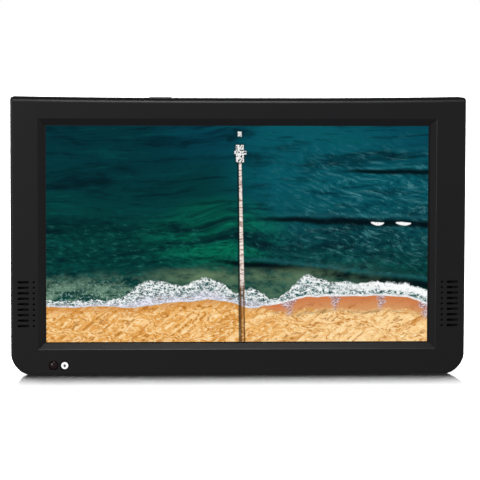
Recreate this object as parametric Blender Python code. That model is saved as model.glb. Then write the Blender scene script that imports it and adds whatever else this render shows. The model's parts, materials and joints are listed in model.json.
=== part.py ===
"""Portable LCD television with top keys, side sockets and a fold-out stand.

Metres, +Z up. The set stands upright and its screen looks along -Y, so +X is on
the right of someone who watches it. The origin is at the middle of the footprint,
on the surface that the feet stand on.
"""
import math

import bmesh
import bpy

# ---------------------------------------------------------------- case
CASE_WIDTH = 0.3035
CASE_HEIGHT = 0.1858            # at the top corners, without the feet
CASE_DEPTH = 0.036
TOP_SAG = 0.00113               # how far the top edge dips between its corners
SAG_POWER = 2.6                 # 2 would be a parabola; more is flatter in the middle
TOP_CORNER_RADIUS = 0.002
BOTTOM_CORNER_RADIUS = 0.015
WALL = 0.002
GAP = 0.0003                    # between pieces that touch
FRONT_SHELL_DEPTH = 0.014
FRONT_EDGE_DEPTH = 0.0018       # rounding where the sides meet the face
FRONT_EDGE_SIDE = 0.0016
FRONT_EDGE_TOP = 0.0034
REAR_EDGE_DEPTH = 0.009         # larger rounding where the sides meet the back
REAR_EDGE_SIDE = 0.0068
FOOT_PROUD = 0.0005

FRONT = -CASE_DEPTH / 2
REAR = CASE_DEPTH / 2
SPLIT = FRONT + FRONT_SHELL_DEPTH
SIDE = CASE_WIDTH / 2
OVERCUT = 0.001                 # how far a cutter runs past the surface that it cuts
EMBED = 0.0005                  # how far a rib or boss runs into its wall

# ---------------------------------------------------------------- screen
PICTURE_WIDTH = 0.2561
PICTURE_HEIGHT = 0.1445
PICTURE_X = -0.0007
PICTURE_Z = FOOT_PROUD + 0.0942
SCREEN_DEPTH = 0.0035           # from the face back to the glass
SLOPE_WIDTH = 0.0045            # sloped frame round the picture
PICTURE_BORDER = 0.0004
COLLAR_WALL = 0.0014
PANEL_MARGIN = 0.00395          # panel beyond the picture, on each side
GLASS_THICKNESS = 0.0012
BACKLIGHT_THICKNESS = 0.0028
TRAY_THICKNESS = 0.0008
TRAY_WALL = 0.0007
GLASS_FRONT = FRONT + SCREEN_DEPTH
TRAY_REAR = GLASS_FRONT + GLASS_THICKNESS + BACKLIGHT_THICKNESS + TRAY_THICKNESS + 2 * GAP

# ---------------------------------------------------------------- speakers
GRILLE_ROWS = 9
GRILLE_PITCH = 0.00366
GRILLE_Z = FOOT_PROUD + 0.0477
SLOT_LENGTH = 0.0075
SLOT_HEIGHT = 0.0016
SLOT_FROM_SIDE = 0.00835
DOT_RADIUS = 0.0007
DOT_FROM_SIDE = 0.0154
SPEAKER_FROM_SIDE = 0.01025
SPEAKER_WIDTH = 0.014
SPEAKER_HEIGHT = 0.040
SPEAKER_DEPTH = 0.005
SPEAKER_WALL = 0.001
SPEAKER_PLATE = 0.0008
MAGNET_RADIUS = 0.0055
MAGNET_DEPTH = 0.004

# ---------------------------------------------------------------- lamp and remote window
LAMP_X = -0.1160
WINDOW_X = -0.1234
LAMP_Z = FOOT_PROUD + 0.0066
LAMP_RADIUS = 0.0024
WINDOW_RADIUS = 0.0029
LENS_FLANGE = 0.001
RECEIVER_SIZE = 0.0045
SENSOR_BOARD_FRONT = FRONT + 0.0055
BOARD_THICKNESS = 0.0016
SMALL_BOARD_THICKNESS = 0.0012
SENSOR_BOARD_HEIGHT = 0.009
SENSOR_BOARD_MARGIN = 0.0055

# ---------------------------------------------------------------- screws and what they clamp
CORNER_SCREWS = [(-0.137, 0.175), (0.137, 0.175), (-0.137, 0.016), (0.137, 0.016)]
MIDDLE_SCREWS = [(-0.085, 0.0115), (0.085, 0.0115)]
SCREWS = CORNER_SCREWS + MIDDLE_SCREWS
BOSS_RADIUS = 0.003
PILLAR_RADIUS = 0.0036
SCREW_HOLE_RADIUS = 0.0015
SCREW_RADIUS = 0.0012
SCREW_HEAD_RADIUS = 0.0024
SCREW_HEAD_HEIGHT = 0.0016
SCREW_CROWN = 0.8               # radius of the head's top, as a share of the head's
SCREW_SKIRT = 0.6               # height of the head's straight side, as a share of its height
SCREW_LENGTH = 0.0092
COUNTERBORE_RADIUS = 0.0027
PILLAR_FLOOR = 0.0022
BRACKET_FRONT = TRAY_REAR + GAP
BRACKET_THICKNESS = 0.0008
BRACKET_X = (0.121, 0.130, 0.1415)  # inner edge, strip's outer edge, ears' outer edge
BRACKET_EAR = 0.0045                # half the height of an ear
PILLAR_FRONT = BRACKET_FRONT + BRACKET_THICKNESS + GAP

# ---------------------------------------------------------------- main board and its sockets
BOARD_FRONT = 0.0
BOARD_LEFT = 0.005
BOARD_RIGHT = 0.1405
BOARD_BOTTOM = 0.058
BOARD_TOP = 0.168
BOARD_REAR = BOARD_FRONT + BOARD_THICKNESS
SOCKET_Y = BOARD_REAR + GAP + 0.003
SOCKET_MOUTH = SIDE - WALL - 3 * GAP
NOSE_END = SIDE - 2 * GAP
SOCKET_FLOOR = 0.0015
SOCKET_RIM = 0.0008             # between a slot socket's mouth and its hole in the wall
TONGUE_SETBACK = 0.002
# height; body along Y, Z and X; radius of the nose, the bore and the pin; finish
ROUND_SOCKETS = {
    "rf_socket": (0.160, (0.006, 0.0080, 0.011), (0.0029, 0.0023, 0.0005), "steel"),
    "av_jack": (0.100, (0.006, 0.0070, 0.012), (0.0026, 0.0018, 0.0006), "chip"),
    "earphone_jack": (0.091, (0.006, 0.0070, 0.012), (0.0026, 0.0018, 0.0006), "chip"),
    "dc_jack": (0.0805, (0.006, 0.0085, 0.012), (0.0029, 0.0022, 0.0007), "chip"),
}
# height; body along Y, Z and X; mouth and tongue along Y and Z
SLOT_SOCKETS = {
    "hdmi_port": (0.144, (0.0058, 0.0150, 0.011), (0.0046, 0.0138), (0.0012, 0.0110)),
    "usb_port": (0.1265, (0.0058, 0.0132, 0.014), (0.0050, 0.0124), (0.0018, 0.0112)),
    "card_slot": (0.112, (0.0030, 0.0140, 0.015), (0.0014, 0.0114), (0.0004, 0.0100)),
}
TUNER = (0.098, 0.137, 0.147, 0.167)        # left, right, bottom, top
TUNER_HEIGHT = 0.007
PROCESSOR = (0.070, 0.090, 0.105, 0.125)
SWITCH_Z = 0.0665
SWITCH_BODY_SIZE = (0.006, 0.0125, 0.006)   # along Y, Z and X
SWITCH_BODY_SETBACK = 0.0022
SWITCH_FLANGE = 0.0008
SWITCH_TRAVEL = 0.003
SWITCH_KNOB = (0.0034, 0.0046)  # along Y and Z
SCOOP = (0.0075, 0.014, 0.0012)  # along Y and Z, and its depth
CABLE_X = (0.030, 0.050)
CABLE_Z = (0.066, 0.104)
CABLE_THICKNESS = 0.0003
CABLE_STEPS = 12

# ---------------------------------------------------------------- keys
KEY_COUNT = 7
KEY_PITCH = 0.01733
KEY_SIZE = (0.0154, 0.0054)
KEY_Y = 0.0035
KEY_CLEARANCE = 0.0003
KEY_TRAVEL = 0.0005
POWER_TRAVEL = 0.0008
POWER_PROUD = 0.0009
KEY_FLANGE = (0.0168, 0.0074)
KEY_FLANGE_THICKNESS = 0.001
KEY_CORNER = 0.0006
KEY_STEM = 0.003
KEY_BOARD_WIDTH = 0.011
KEY_BOARD_MARGIN = 0.002
KEY_TOP = FOOT_PROUD + CASE_HEIGHT - TOP_SAG
SWITCH_BODY = 0.006
SWITCH_BODY_HEIGHT = 0.0034
SWITCH_PLUNGER = 0.0015
KEY_SWITCH_TOP = KEY_TOP - 0.0063
KEY_BOARD_TOP = KEY_SWITCH_TOP - SWITCH_BODY_HEIGHT - 0.0007 - GAP

# ---------------------------------------------------------------- stand
STAND_WIDTH = 0.084
STAND_LENGTH = 0.087
STAND_AXIS_Y = 0.0153
STAND_AXIS_Z = 0.106
STAND_BARREL_RADIUS = 0.0024
STAND_PLATE = (0.0142, 0.0176)  # inner and outer face
STAND_CORNER_RADIUS = 0.008
STAND_CLEARANCE = 0.0005
STAND_RIBS = (-0.028, 0.0, 0.028)
STAND_RIB_WIDTH = 0.002
STAND_RIB_HEIGHT = 0.001
STAND_RIB_ENDS = (0.006, 0.079)  # below the hinge axis
POCKET_FLOOR = 0.0127
POCKET_WALL = 0.002
PIN_RADIUS = 0.0012
PIN_HOLE_RADIUS = 0.00132
NOTCH_WIDTH = 0.022
NOTCH_HEIGHT = 0.0075

# ---------------------------------------------------------------- battery, feet, vents
CELL_RADIUS = 0.0092
CELL_LENGTH = 0.065
CELL_X = -0.100
CELL_Z = (0.079, 0.098)
CELL_CHAMFER = 0.001
HOLDER_WALL = 0.0012
FOOT_SIZE = (0.022, 0.009)
FOOT_THICKNESS = 0.0008
FOOT_CORNER = 0.0018
FOOT_X = 0.105
FRONT_FOOT_Y = -0.011
REAR_FOOT_Y = 0.0025
VENT_COUNT = 15
VENT_PITCH = 0.0056
VENT_SIZE = (0.002, 0.022)
VENT_Z = 0.137
LABEL_SIZE = (0.060, 0.030)
LABEL_CENTRE = (-0.085, 0.045)
LABEL_DEPTH = 0.0004

SMALL_CORNER = 0.0006           # corner radius of holes, bodies and caps
CORNER_POINTS = 3               # points on each corner of a small rounded outline
BOTTOM_CORNER_POINTS = 9
STAND_CORNER_POINTS = 5
TOP_CORNER_POINTS = 4
TOP_EDGE_STEPS = 14
FRONT_EDGE_STEPS = 4
REAR_EDGE_STEPS = 5
ROUND_POINTS = 24               # points round a circle that shows
HIDDEN_POINTS = 12              # points round a boss or pillar inside
SCREW_POINTS = 16               # points round a screw's counterbore
DOT_POINTS = 8                  # points round a dot of the speaker grille
SHARP_ANGLE = math.radians(35)

# finish: linear colour, roughness, metallic
FINISHES = {
    "black_plastic": ((0.017, 0.017, 0.019), 0.42, 0.0),
    "grey_plastic": ((0.52, 0.52, 0.53), 0.40, 0.0),
    "window_plastic": ((0.030, 0.012, 0.014), 0.12, 0.0),
    "lamp_plastic": ((0.85, 0.87, 0.88), 0.20, 0.0),
    "screen": ((0.010, 0.045, 0.050), 0.15, 0.0),
    "diffuser": ((0.80, 0.80, 0.78), 0.35, 0.0),
    "steel": ((0.56, 0.57, 0.58), 0.32, 1.0),
    "circuit_board": ((0.015, 0.110, 0.045), 0.50, 0.0),
    "chip": ((0.012, 0.012, 0.013), 0.55, 0.0),
    "rubber": ((0.012, 0.012, 0.012), 0.85, 0.0),
    "battery_sleeve": ((0.020, 0.100, 0.350), 0.35, 0.0),
    "speaker_cone": ((0.030, 0.030, 0.032), 0.90, 0.0),
    "magnet": ((0.100, 0.100, 0.105), 0.60, 0.5),
    "ribbon": ((0.750, 0.740, 0.700), 0.50, 0.0),
}


# ================================================================ outlines
def arc(centre, radius, start, end, points):
    """Points on an arc between two angles in degrees, both ends included."""
    result = []
    for i in range(points):
        angle = math.radians(start + (end - start) * i / (points - 1))
        result.append((centre[0] + radius * math.cos(angle), centre[1] + radius * math.sin(angle)))
    return result


def rectangle(width, height, centre=(0.0, 0.0)):
    """Sharp rectangle with four points."""
    a, b = width / 2, height / 2
    corners = [(a, -b), (a, b), (-a, b), (-a, -b)]
    return [(centre[0] + u, centre[1] + v) for u, v in corners]


def rounded(width, height, corner, centre=(0.0, 0.0), points=CORNER_POINTS):
    """Rectangle with round corners, anticlockwise from the right-hand side."""
    a, b = width / 2 - corner, height / 2 - corner
    outline = []
    for start, u, v in ((0, a, b), (90, -a, b), (180, -a, -b), (270, a, -b)):
        outline += arc((centre[0] + u, centre[1] + v), corner, start, start + 90, points)
    return outline


def circle(radius, centre=(0.0, 0.0), points=4 * CORNER_POINTS):
    """Circle that starts half a step past its right-hand side, so it lofts to rounded()."""
    step = 360 / points
    return arc(centre, radius, step / 2, 360 - step / 2, points)


def top_edge(x):
    """Height of the case's top edge, which dips gently between the corners."""
    share = min(abs(x) / SIDE, 1.0)
    return FOOT_PROUD + CASE_HEIGHT - TOP_SAG * (1 - share ** SAG_POWER)


def case_outline(inset, top_inset=None):
    """Outline (x, z) of the case, pulled in by inset, or by top_inset along its top."""
    if top_inset is None:
        top_inset = inset
    half = SIDE - inset
    low = FOOT_PROUD + inset
    bottom_radius = BOTTOM_CORNER_RADIUS - inset
    top_radius = max(TOP_CORNER_RADIUS - inset, 2 * GAP)
    shoulder = half - top_radius
    heel = half - bottom_radius
    shoulder_z = top_edge(shoulder) - top_inset - top_radius
    outline = arc((heel, low + bottom_radius), bottom_radius, -90, 0, BOTTOM_CORNER_POINTS)
    outline += arc((shoulder, shoulder_z), top_radius, 0, 90, TOP_CORNER_POINTS)
    for i in range(1, TOP_EDGE_STEPS):
        x = shoulder * (1 - 2 * i / TOP_EDGE_STEPS)
        outline.append((x, top_edge(x) - top_inset))
    outline += arc((-shoulder, shoulder_z), top_radius, 90, 180, TOP_CORNER_POINTS)
    outline += arc((-heel, low + bottom_radius), bottom_radius, 180, 270, BOTTOM_CORNER_POINTS)
    return outline


# ================================================================ bodies
def on_axis(axis, along, point):
    """Puts a point of an outline at a place along the X, Y or Z axis."""
    u, v = point
    if axis == "X":
        return (along, u, v)
    if axis == "Y":
        return (u, along, v)
    return (u, v, along)


def add_loft(bm, axis, sections):
    """Adds one closed body through outlines set one after another along an axis."""
    loops = []
    for along, outline in sections:
        loops.append([bm.verts.new(on_axis(axis, along, point)) for point in outline])
    for first, second in zip(loops, loops[1:]):
        for i, vertex in enumerate(first):
            j = (i + 1) % len(first)
            bm.faces.new((vertex, first[j], second[j], second[i]))
    bm.faces.new(loops[0][::-1])
    bm.faces.new(loops[-1])


def add_prism(bm, axis, start, end, outline):
    """Adds one outline swept straight along an axis."""
    add_loft(bm, axis, [(start, outline), (end, outline)])


def add_box(bm, low, high):
    """Adds a box between two corners."""
    size = [b - a for a, b in zip(low, high)]
    middle = [(a + b) / 2 for a, b in zip(low, high)]
    add_prism(bm, "Y", low[1], high[1], rectangle(size[0], size[2], (middle[0], middle[2])))


def make_material(name, finish):
    """Principled material of one sub-part."""
    colour, roughness, metallic = FINISHES[finish]
    material = bpy.data.materials.new(name)
    material.use_nodes = True
    shader = material.node_tree.nodes["Principled BSDF"]
    shader.inputs["Base Color"].default_value = (*colour, 1.0)
    shader.inputs["Roughness"].default_value = roughness
    shader.inputs["Metallic"].default_value = metallic
    return material


def make_object(name, bm, parent, location=(0.0, 0.0, 0.0)):
    """Turns a bmesh into an object under a parent."""
    bmesh.ops.recalc_face_normals(bm, faces=bm.faces)
    mesh = bpy.data.meshes.new(name)
    bm.to_mesh(mesh)
    bm.free()
    mesh.shade_smooth()
    mesh.set_sharp_from_angle(angle=SHARP_ANGLE)
    obj = bpy.data.objects.new(name, mesh)
    obj.parent = parent
    obj.location = location
    bpy.context.scene.collection.objects.link(obj)
    return obj


def make_part(name, bm, finish, parent, location=(0.0, 0.0, 0.0)):
    """Turns a bmesh into a named sub-part with its own material."""
    obj = make_object(name, bm, parent, location)
    obj.data.materials.append(make_material(name, finish))
    return obj


def make_empty(name, location=(0.0, 0.0, 0.0)):
    """Empty that groups the sub-parts under it."""
    empty = bpy.data.objects.new(name, None)
    empty.location = location
    bpy.context.scene.collection.objects.link(empty)
    return empty


def combine(target, operation, bm, label):
    """Joins the bodies in a bmesh to the target, or cuts them from it."""
    tool = make_object(target.name + "_" + label, bm, target)
    tool.hide_render = True
    tool.display_type = "WIRE"
    modifier = target.modifiers.new(label, "BOOLEAN")
    modifier.solver = "EXACT"
    modifier.operation = operation
    modifier.object = tool


# ================================================================ shells
def edge_round(depth, inset, top_inset, steps):
    """Quarter ellipse from a side wall (first) to a flat face (last)."""
    points = []
    for i in range(steps + 1):
        angle = math.radians(90 * i / steps)
        rise = 1 - math.sin(angle)
        run = 1 - math.cos(angle)
        points.append((depth * rise, inset * run, top_inset * run))
    return points


def frame_outline(extra):
    """Rectangle round the picture, larger than it by extra on each side."""
    size = (PICTURE_WIDTH + 2 * extra, PICTURE_HEIGHT + 2 * extra)
    return rectangle(*size, (PICTURE_X, PICTURE_Z))


def grille_rows():
    """Heights of the speaker grille's rows."""
    first = GRILLE_Z - GRILLE_PITCH * (GRILLE_ROWS - 1) / 2
    return [first + GRILLE_PITCH * i for i in range(GRILLE_ROWS)]


def build_front_bezel(parent):
    """Front shell: face, screen frame, speaker grilles, lamp holes and screw bosses."""
    bm = bmesh.new()
    sections = [(SPLIT, case_outline(0.0))]
    front_edge = edge_round(FRONT_EDGE_DEPTH, FRONT_EDGE_SIDE, FRONT_EDGE_TOP, FRONT_EDGE_STEPS)
    for depth, inset, top_inset in front_edge:
        sections.append((FRONT + depth, case_outline(inset, top_inset)))
    add_loft(bm, "Y", sections)
    bezel = make_part("front_bezel", bm, "black_plastic", parent)

    bm = bmesh.new()
    add_prism(bm, "Y", FRONT + WALL, SPLIT + OVERCUT, case_outline(WALL))
    combine(bezel, "DIFFERENCE", bm, "cavity")

    wall_share = 1 - WALL / (SCREEN_DEPTH - GAP)
    collar = PICTURE_BORDER + SLOPE_WIDTH * wall_share + COLLAR_WALL
    bm = bmesh.new()
    add_prism(bm, "Y", FRONT + WALL - EMBED, GLASS_FRONT - GAP, frame_outline(collar))
    for x, z in SCREWS:
        boss = circle(BOSS_RADIUS, (x, z), HIDDEN_POINTS)
        add_prism(bm, "Y", FRONT + WALL - EMBED, TRAY_REAR, boss)
    combine(bezel, "UNION", bm, "bosses")

    bm = bmesh.new()
    slope = SLOPE_WIDTH / (SCREEN_DEPTH - GAP)
    add_loft(bm, "Y", [
        (FRONT - OVERCUT, frame_outline(PICTURE_BORDER + SLOPE_WIDTH + slope * OVERCUT)),
        (GLASS_FRONT - GAP, frame_outline(PICTURE_BORDER)),
        (GLASS_FRONT + OVERCUT, frame_outline(PICTURE_BORDER)),
    ])
    for x, z in SCREWS:
        hole = circle(SCREW_HOLE_RADIUS, (x, z))
        add_prism(bm, "Y", FRONT + WALL + EMBED, TRAY_REAR + OVERCUT, hole)
    for x, radius in ((LAMP_X, LAMP_RADIUS), (WINDOW_X, WINDOW_RADIUS)):
        hole = circle(radius + GAP, (x, LAMP_Z), ROUND_POINTS)
        add_prism(bm, "Y", FRONT - OVERCUT, FRONT + WALL + OVERCUT, hole)
    for side in (-1, 1):
        for z in grille_rows():
            slot_centre = (side * (SIDE - SLOT_FROM_SIDE), z)
            slot = rounded(SLOT_LENGTH, SLOT_HEIGHT, SLOT_HEIGHT / 2.5, slot_centre)
            dot = circle(DOT_RADIUS, (side * (SIDE - DOT_FROM_SIDE), z), DOT_POINTS)
            add_prism(bm, "Y", FRONT - OVERCUT, FRONT + WALL + OVERCUT, slot)
            add_prism(bm, "Y", FRONT - OVERCUT, FRONT + WALL + OVERCUT, dot)
    add_foot_pockets(bm, FRONT_FOOT_Y)
    combine(bezel, "DIFFERENCE", bm, "openings")


def add_foot_pockets(bm, y):
    """Shallow pockets in the bottom of a shell, for its two feet."""
    width, depth = FOOT_SIZE
    for side in (-1, 1):
        pocket = rounded(width + 2 * GAP, depth + 2 * GAP, FOOT_CORNER, (side * FOOT_X, y))
        add_prism(bm, "Z", FOOT_PROUD - OVERCUT, FOOT_THICKNESS + GAP, pocket)


def pocket_outline(extra):
    """Outline of the stand's pocket in the back, larger by extra on each side."""
    low = STAND_AXIS_Z - STAND_LENGTH - STAND_CLEARANCE - extra
    high = STAND_AXIS_Z + STAND_BARREL_RADIUS + STAND_CLEARANCE + extra
    width = STAND_WIDTH + 2 * (STAND_CLEARANCE + extra)
    return rectangle(width, high - low, (0.0, (low + high) / 2))


def notch_outline(extra):
    """Outline of the finger notch under the stand's free end."""
    top = STAND_AXIS_Z - STAND_LENGTH
    low = top - NOTCH_HEIGHT - extra
    return rectangle(NOTCH_WIDTH + 2 * extra, top - low + extra, (0.0, (low + top + extra) / 2))


def key_places():
    """Centre of each key along the top, from left to right."""
    first = -KEY_PITCH * (KEY_COUNT - 1) / 2
    return [first + KEY_PITCH * i for i in range(KEY_COUNT)]


def grown(size, extra):
    """Size of a rectangle that is larger by extra on each side."""
    return [length + 2 * extra for length in size]


def add_socket_holes(bm):
    """Holes in the side wall in front of each socket, and the power switch's slot."""
    slot = (SWITCH_KNOB[0], SWITCH_KNOB[1] + SWITCH_TRAVEL)
    holes = [rounded(*grown(slot, GAP), SMALL_CORNER, (SOCKET_Y, SWITCH_Z))]
    for z, _, (nose, _, _), _ in ROUND_SOCKETS.values():
        holes.append(circle(nose + GAP, (SOCKET_Y, z), ROUND_POINTS))
    for z, _, mouth, _ in SLOT_SOCKETS.values():
        holes.append(rounded(*grown(mouth, SOCKET_RIM), SMALL_CORNER, (SOCKET_Y, z)))
    for hole in holes:
        add_prism(bm, "X", SIDE - 2 * WALL, SIDE + OVERCUT, hole)


def add_switch_scoop(bm):
    """Shallow finger scoop round the power switch's slot."""
    width, height, depth = SCOOP
    corner = width / 3
    mouth = rounded(width, height, corner, (SOCKET_Y, SWITCH_Z))
    floor = rounded(width - depth, height - depth, corner - depth / 2, (SOCKET_Y, SWITCH_Z))
    add_loft(bm, "X", [(SIDE - depth, floor), (SIDE, mouth), (SIDE + OVERCUT, mouth)])


def build_rear_cover(parent):
    """Rear shell: rounded back, screw pillars, stand pocket, keys' holes, vents and socket holes."""
    bm = bmesh.new()
    sections = [(SPLIT + GAP, case_outline(0.0))]
    for depth, inset, _ in edge_round(REAR_EDGE_DEPTH, REAR_EDGE_SIDE, REAR_EDGE_SIDE, REAR_EDGE_STEPS):
        sections.append((REAR - depth, case_outline(inset)))
    add_loft(bm, "Y", sections)
    cover = make_part("rear_cover", bm, "black_plastic", parent)

    bm = bmesh.new()
    sections = [(SPLIT - OVERCUT, case_outline(WALL))]
    inner_depth = REAR_EDGE_DEPTH - WALL
    inner_side = REAR_EDGE_SIDE - WALL
    for depth, inset, _ in edge_round(inner_depth, inner_side, inner_side, REAR_EDGE_STEPS):
        sections.append((REAR - WALL - depth, case_outline(WALL + inset)))
    add_loft(bm, "Y", sections)
    combine(cover, "DIFFERENCE", bm, "cavity")

    bm = bmesh.new()
    pocket_front = POCKET_FLOOR - POCKET_WALL
    add_prism(bm, "Y", pocket_front, REAR - WALL + EMBED, pocket_outline(POCKET_WALL))
    for x, z in SCREWS:
        pillar = circle(PILLAR_RADIUS, (x, z), HIDDEN_POINTS)
        add_prism(bm, "Y", PILLAR_FRONT, REAR - WALL + EMBED, pillar)
    combine(cover, "UNION", bm, "pillars")

    bm = bmesh.new()
    notch_front = POCKET_FLOOR - POCKET_WALL + EMBED
    add_prism(bm, "Y", notch_front, REAR - WALL + EMBED, notch_outline(POCKET_WALL))
    combine(cover, "UNION", bm, "notch_walls")

    bm = bmesh.new()
    add_prism(bm, "Y", POCKET_FLOOR, REAR + OVERCUT, pocket_outline(0.0))
    for x, z in SCREWS:
        head = circle(COUNTERBORE_RADIUS, (x, z), SCREW_POINTS)
        shaft = circle(SCREW_HOLE_RADIUS, (x, z), SCREW_POINTS)
        floor = PILLAR_FRONT + PILLAR_FLOOR
        add_loft(bm, "Y", [(PILLAR_FRONT - OVERCUT, shaft), (floor, shaft), (floor, head),
                           (REAR + OVERCUT, head)])
    for i in range(VENT_COUNT):
        x = VENT_PITCH * (i - (VENT_COUNT - 1) / 2)
        vent = rounded(*VENT_SIZE, VENT_SIZE[0] / 2.5, (x, VENT_Z))
        add_prism(bm, "Y", REAR - WALL - OVERCUT, REAR + OVERCUT, vent)
    for x in key_places():
        hole = rounded(*grown(KEY_SIZE, KEY_CLEARANCE), KEY_CORNER, (x, KEY_Y))
        add_prism(bm, "Z", KEY_TOP - 2 * WALL, KEY_TOP + OVERCUT, hole)
    add_socket_holes(bm)
    add_foot_pockets(bm, REAR_FOOT_Y)
    label = rounded(*LABEL_SIZE, WALL, LABEL_CENTRE)
    add_prism(bm, "Y", REAR - LABEL_DEPTH, REAR + OVERCUT, label)
    combine(cover, "DIFFERENCE", bm, "openings")

    bm = bmesh.new()
    add_prism(bm, "Y", POCKET_FLOOR, REAR + OVERCUT, notch_outline(0.0))
    add_switch_scoop(bm)
    pin_hole = circle(PIN_HOLE_RADIUS, (STAND_AXIS_Y, STAND_AXIS_Z), ROUND_POINTS)
    reach = STAND_WIDTH / 2 + STAND_CLEARANCE + POCKET_WALL - EMBED
    add_prism(bm, "X", -reach, reach, pin_hole)
    combine(cover, "DIFFERENCE", bm, "recesses")


# ================================================================ display
def build_display(parent):
    """Glass, backlight, steel tray, its two brackets and the ribbon cable."""
    glass_rear = GLASS_FRONT + GLASS_THICKNESS
    bm = bmesh.new()
    add_prism(bm, "Y", GLASS_FRONT, glass_rear, frame_outline(PANEL_MARGIN))
    make_part("lcd_panel", bm, "screen", parent)

    backlight_rear = glass_rear + GAP + BACKLIGHT_THICKNESS
    bm = bmesh.new()
    add_prism(bm, "Y", glass_rear + GAP, backlight_rear, frame_outline(PANEL_MARGIN - GAP))
    make_part("backlight_unit", bm, "diffuser", parent)

    inside = frame_outline(PANEL_MARGIN + GAP)
    outside = frame_outline(PANEL_MARGIN + GAP + TRAY_WALL)
    bm = bmesh.new()
    add_loft(bm, "Y", [
        (TRAY_REAR, outside),
        (GLASS_FRONT + EMBED, outside),
        (GLASS_FRONT + EMBED, inside),
        (backlight_rear + GAP, inside),
    ])
    make_part("panel_tray", bm, "steel", parent)
    for side, word in ((-1, "left"), (1, "right")):
        build_bracket(parent, "panel_bracket_" + word, side)
    build_display_cable(parent)


def build_bracket(parent, name, side):
    """Steel strip behind the tray, with an ear at each end that a corner screw clamps."""
    inner, strip, outer = BRACKET_X
    ear = BRACKET_EAR
    low, high = CORNER_SCREWS[2][1], CORNER_SCREWS[0][1]
    outline = [
        (inner, low - ear), (outer, low - ear), (outer, low + ear), (strip, low + ear),
        (strip, high - ear), (outer, high - ear), (outer, high + ear), (inner, high + ear),
    ]
    outline = [(side * x, z) for x, z in outline]
    bm = bmesh.new()
    add_prism(bm, "Y", BRACKET_FRONT, BRACKET_FRONT + BRACKET_THICKNESS, outline)
    bracket = make_part(name, bm, "steel", parent)
    bm = bmesh.new()
    for x, z in CORNER_SCREWS:
        if x * side > 0:
            hole = circle(SCREW_HOLE_RADIUS, (x, z))
            add_prism(bm, "Y", BRACKET_FRONT - OVERCUT, BRACKET_FRONT + BRACKET_THICKNESS + OVERCUT, hole)
    combine(bracket, "DIFFERENCE", bm, "screw_holes")


def build_display_cable(parent):
    """Flat ribbon in an S, from the back of the display to the front of the main board."""
    start_y = TRAY_REAR + 2 * GAP
    end_y = BOARD_FRONT - 2 * GAP - CABLE_THICKNESS
    low, high = CABLE_Z
    front_edge = []
    for i in range(CABLE_STEPS + 1):
        share = i / CABLE_STEPS
        blend = share * share * (3 - 2 * share)
        front_edge.append((start_y + (end_y - start_y) * blend, low + (high - low) * share))
    rear_edge = [(y + CABLE_THICKNESS, z) for y, z in front_edge]
    bm = bmesh.new()
    add_prism(bm, "X", *CABLE_X, front_edge + rear_edge[::-1])
    make_part("display_cable", bm, "ribbon", parent)


# ================================================================ speakers
def stadium(width, height, centre):
    """Upright slot shape with half-round ends."""
    return rounded(width, height, width / 2.02, centre, 2 * CORNER_POINTS)


def build_speaker(parent, word, side):
    """One speaker: cup with a rear plate, dished cone and magnet."""
    centre = (side * (SIDE - SPEAKER_FROM_SIDE), GRILLE_Z)
    front = FRONT + WALL + GAP
    rear = front + SPEAKER_DEPTH
    wall = SPEAKER_WALL
    outer = stadium(SPEAKER_WIDTH, SPEAKER_HEIGHT, centre)
    inner = stadium(SPEAKER_WIDTH - 2 * wall, SPEAKER_HEIGHT - 2 * wall, centre)
    bm = bmesh.new()
    add_loft(bm, "Y", [(rear, outer), (front, outer), (front, inner), (rear - SPEAKER_PLATE, inner)])
    make_part("speaker_frame_" + word, bm, "chip", parent)

    play = wall + GAP
    rim = stadium(SPEAKER_WIDTH - 2 * play, SPEAKER_HEIGHT - 2 * play, centre)
    dish = stadium(SPEAKER_WIDTH / 3, SPEAKER_HEIGHT * 0.7, centre)
    dish_rim = stadium(SPEAKER_WIDTH - 4 * wall, SPEAKER_HEIGHT - 4 * wall, centre)
    cone_rear = rear - SPEAKER_PLATE - GAP
    bm = bmesh.new()
    add_loft(bm, "Y", [
        (cone_rear, dish), (front + wall, rim), (front + wall / 2, rim),
        (front + wall / 2, dish_rim), (cone_rear - wall, dish),
    ])
    make_part("speaker_cone_" + word, bm, "speaker_cone", parent)

    bm = bmesh.new()
    magnet = circle(MAGNET_RADIUS, centre, ROUND_POINTS)
    add_prism(bm, "Y", rear + GAP, rear + GAP + MAGNET_DEPTH, magnet)
    make_part("speaker_magnet_" + word, bm, "magnet", parent)


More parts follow.
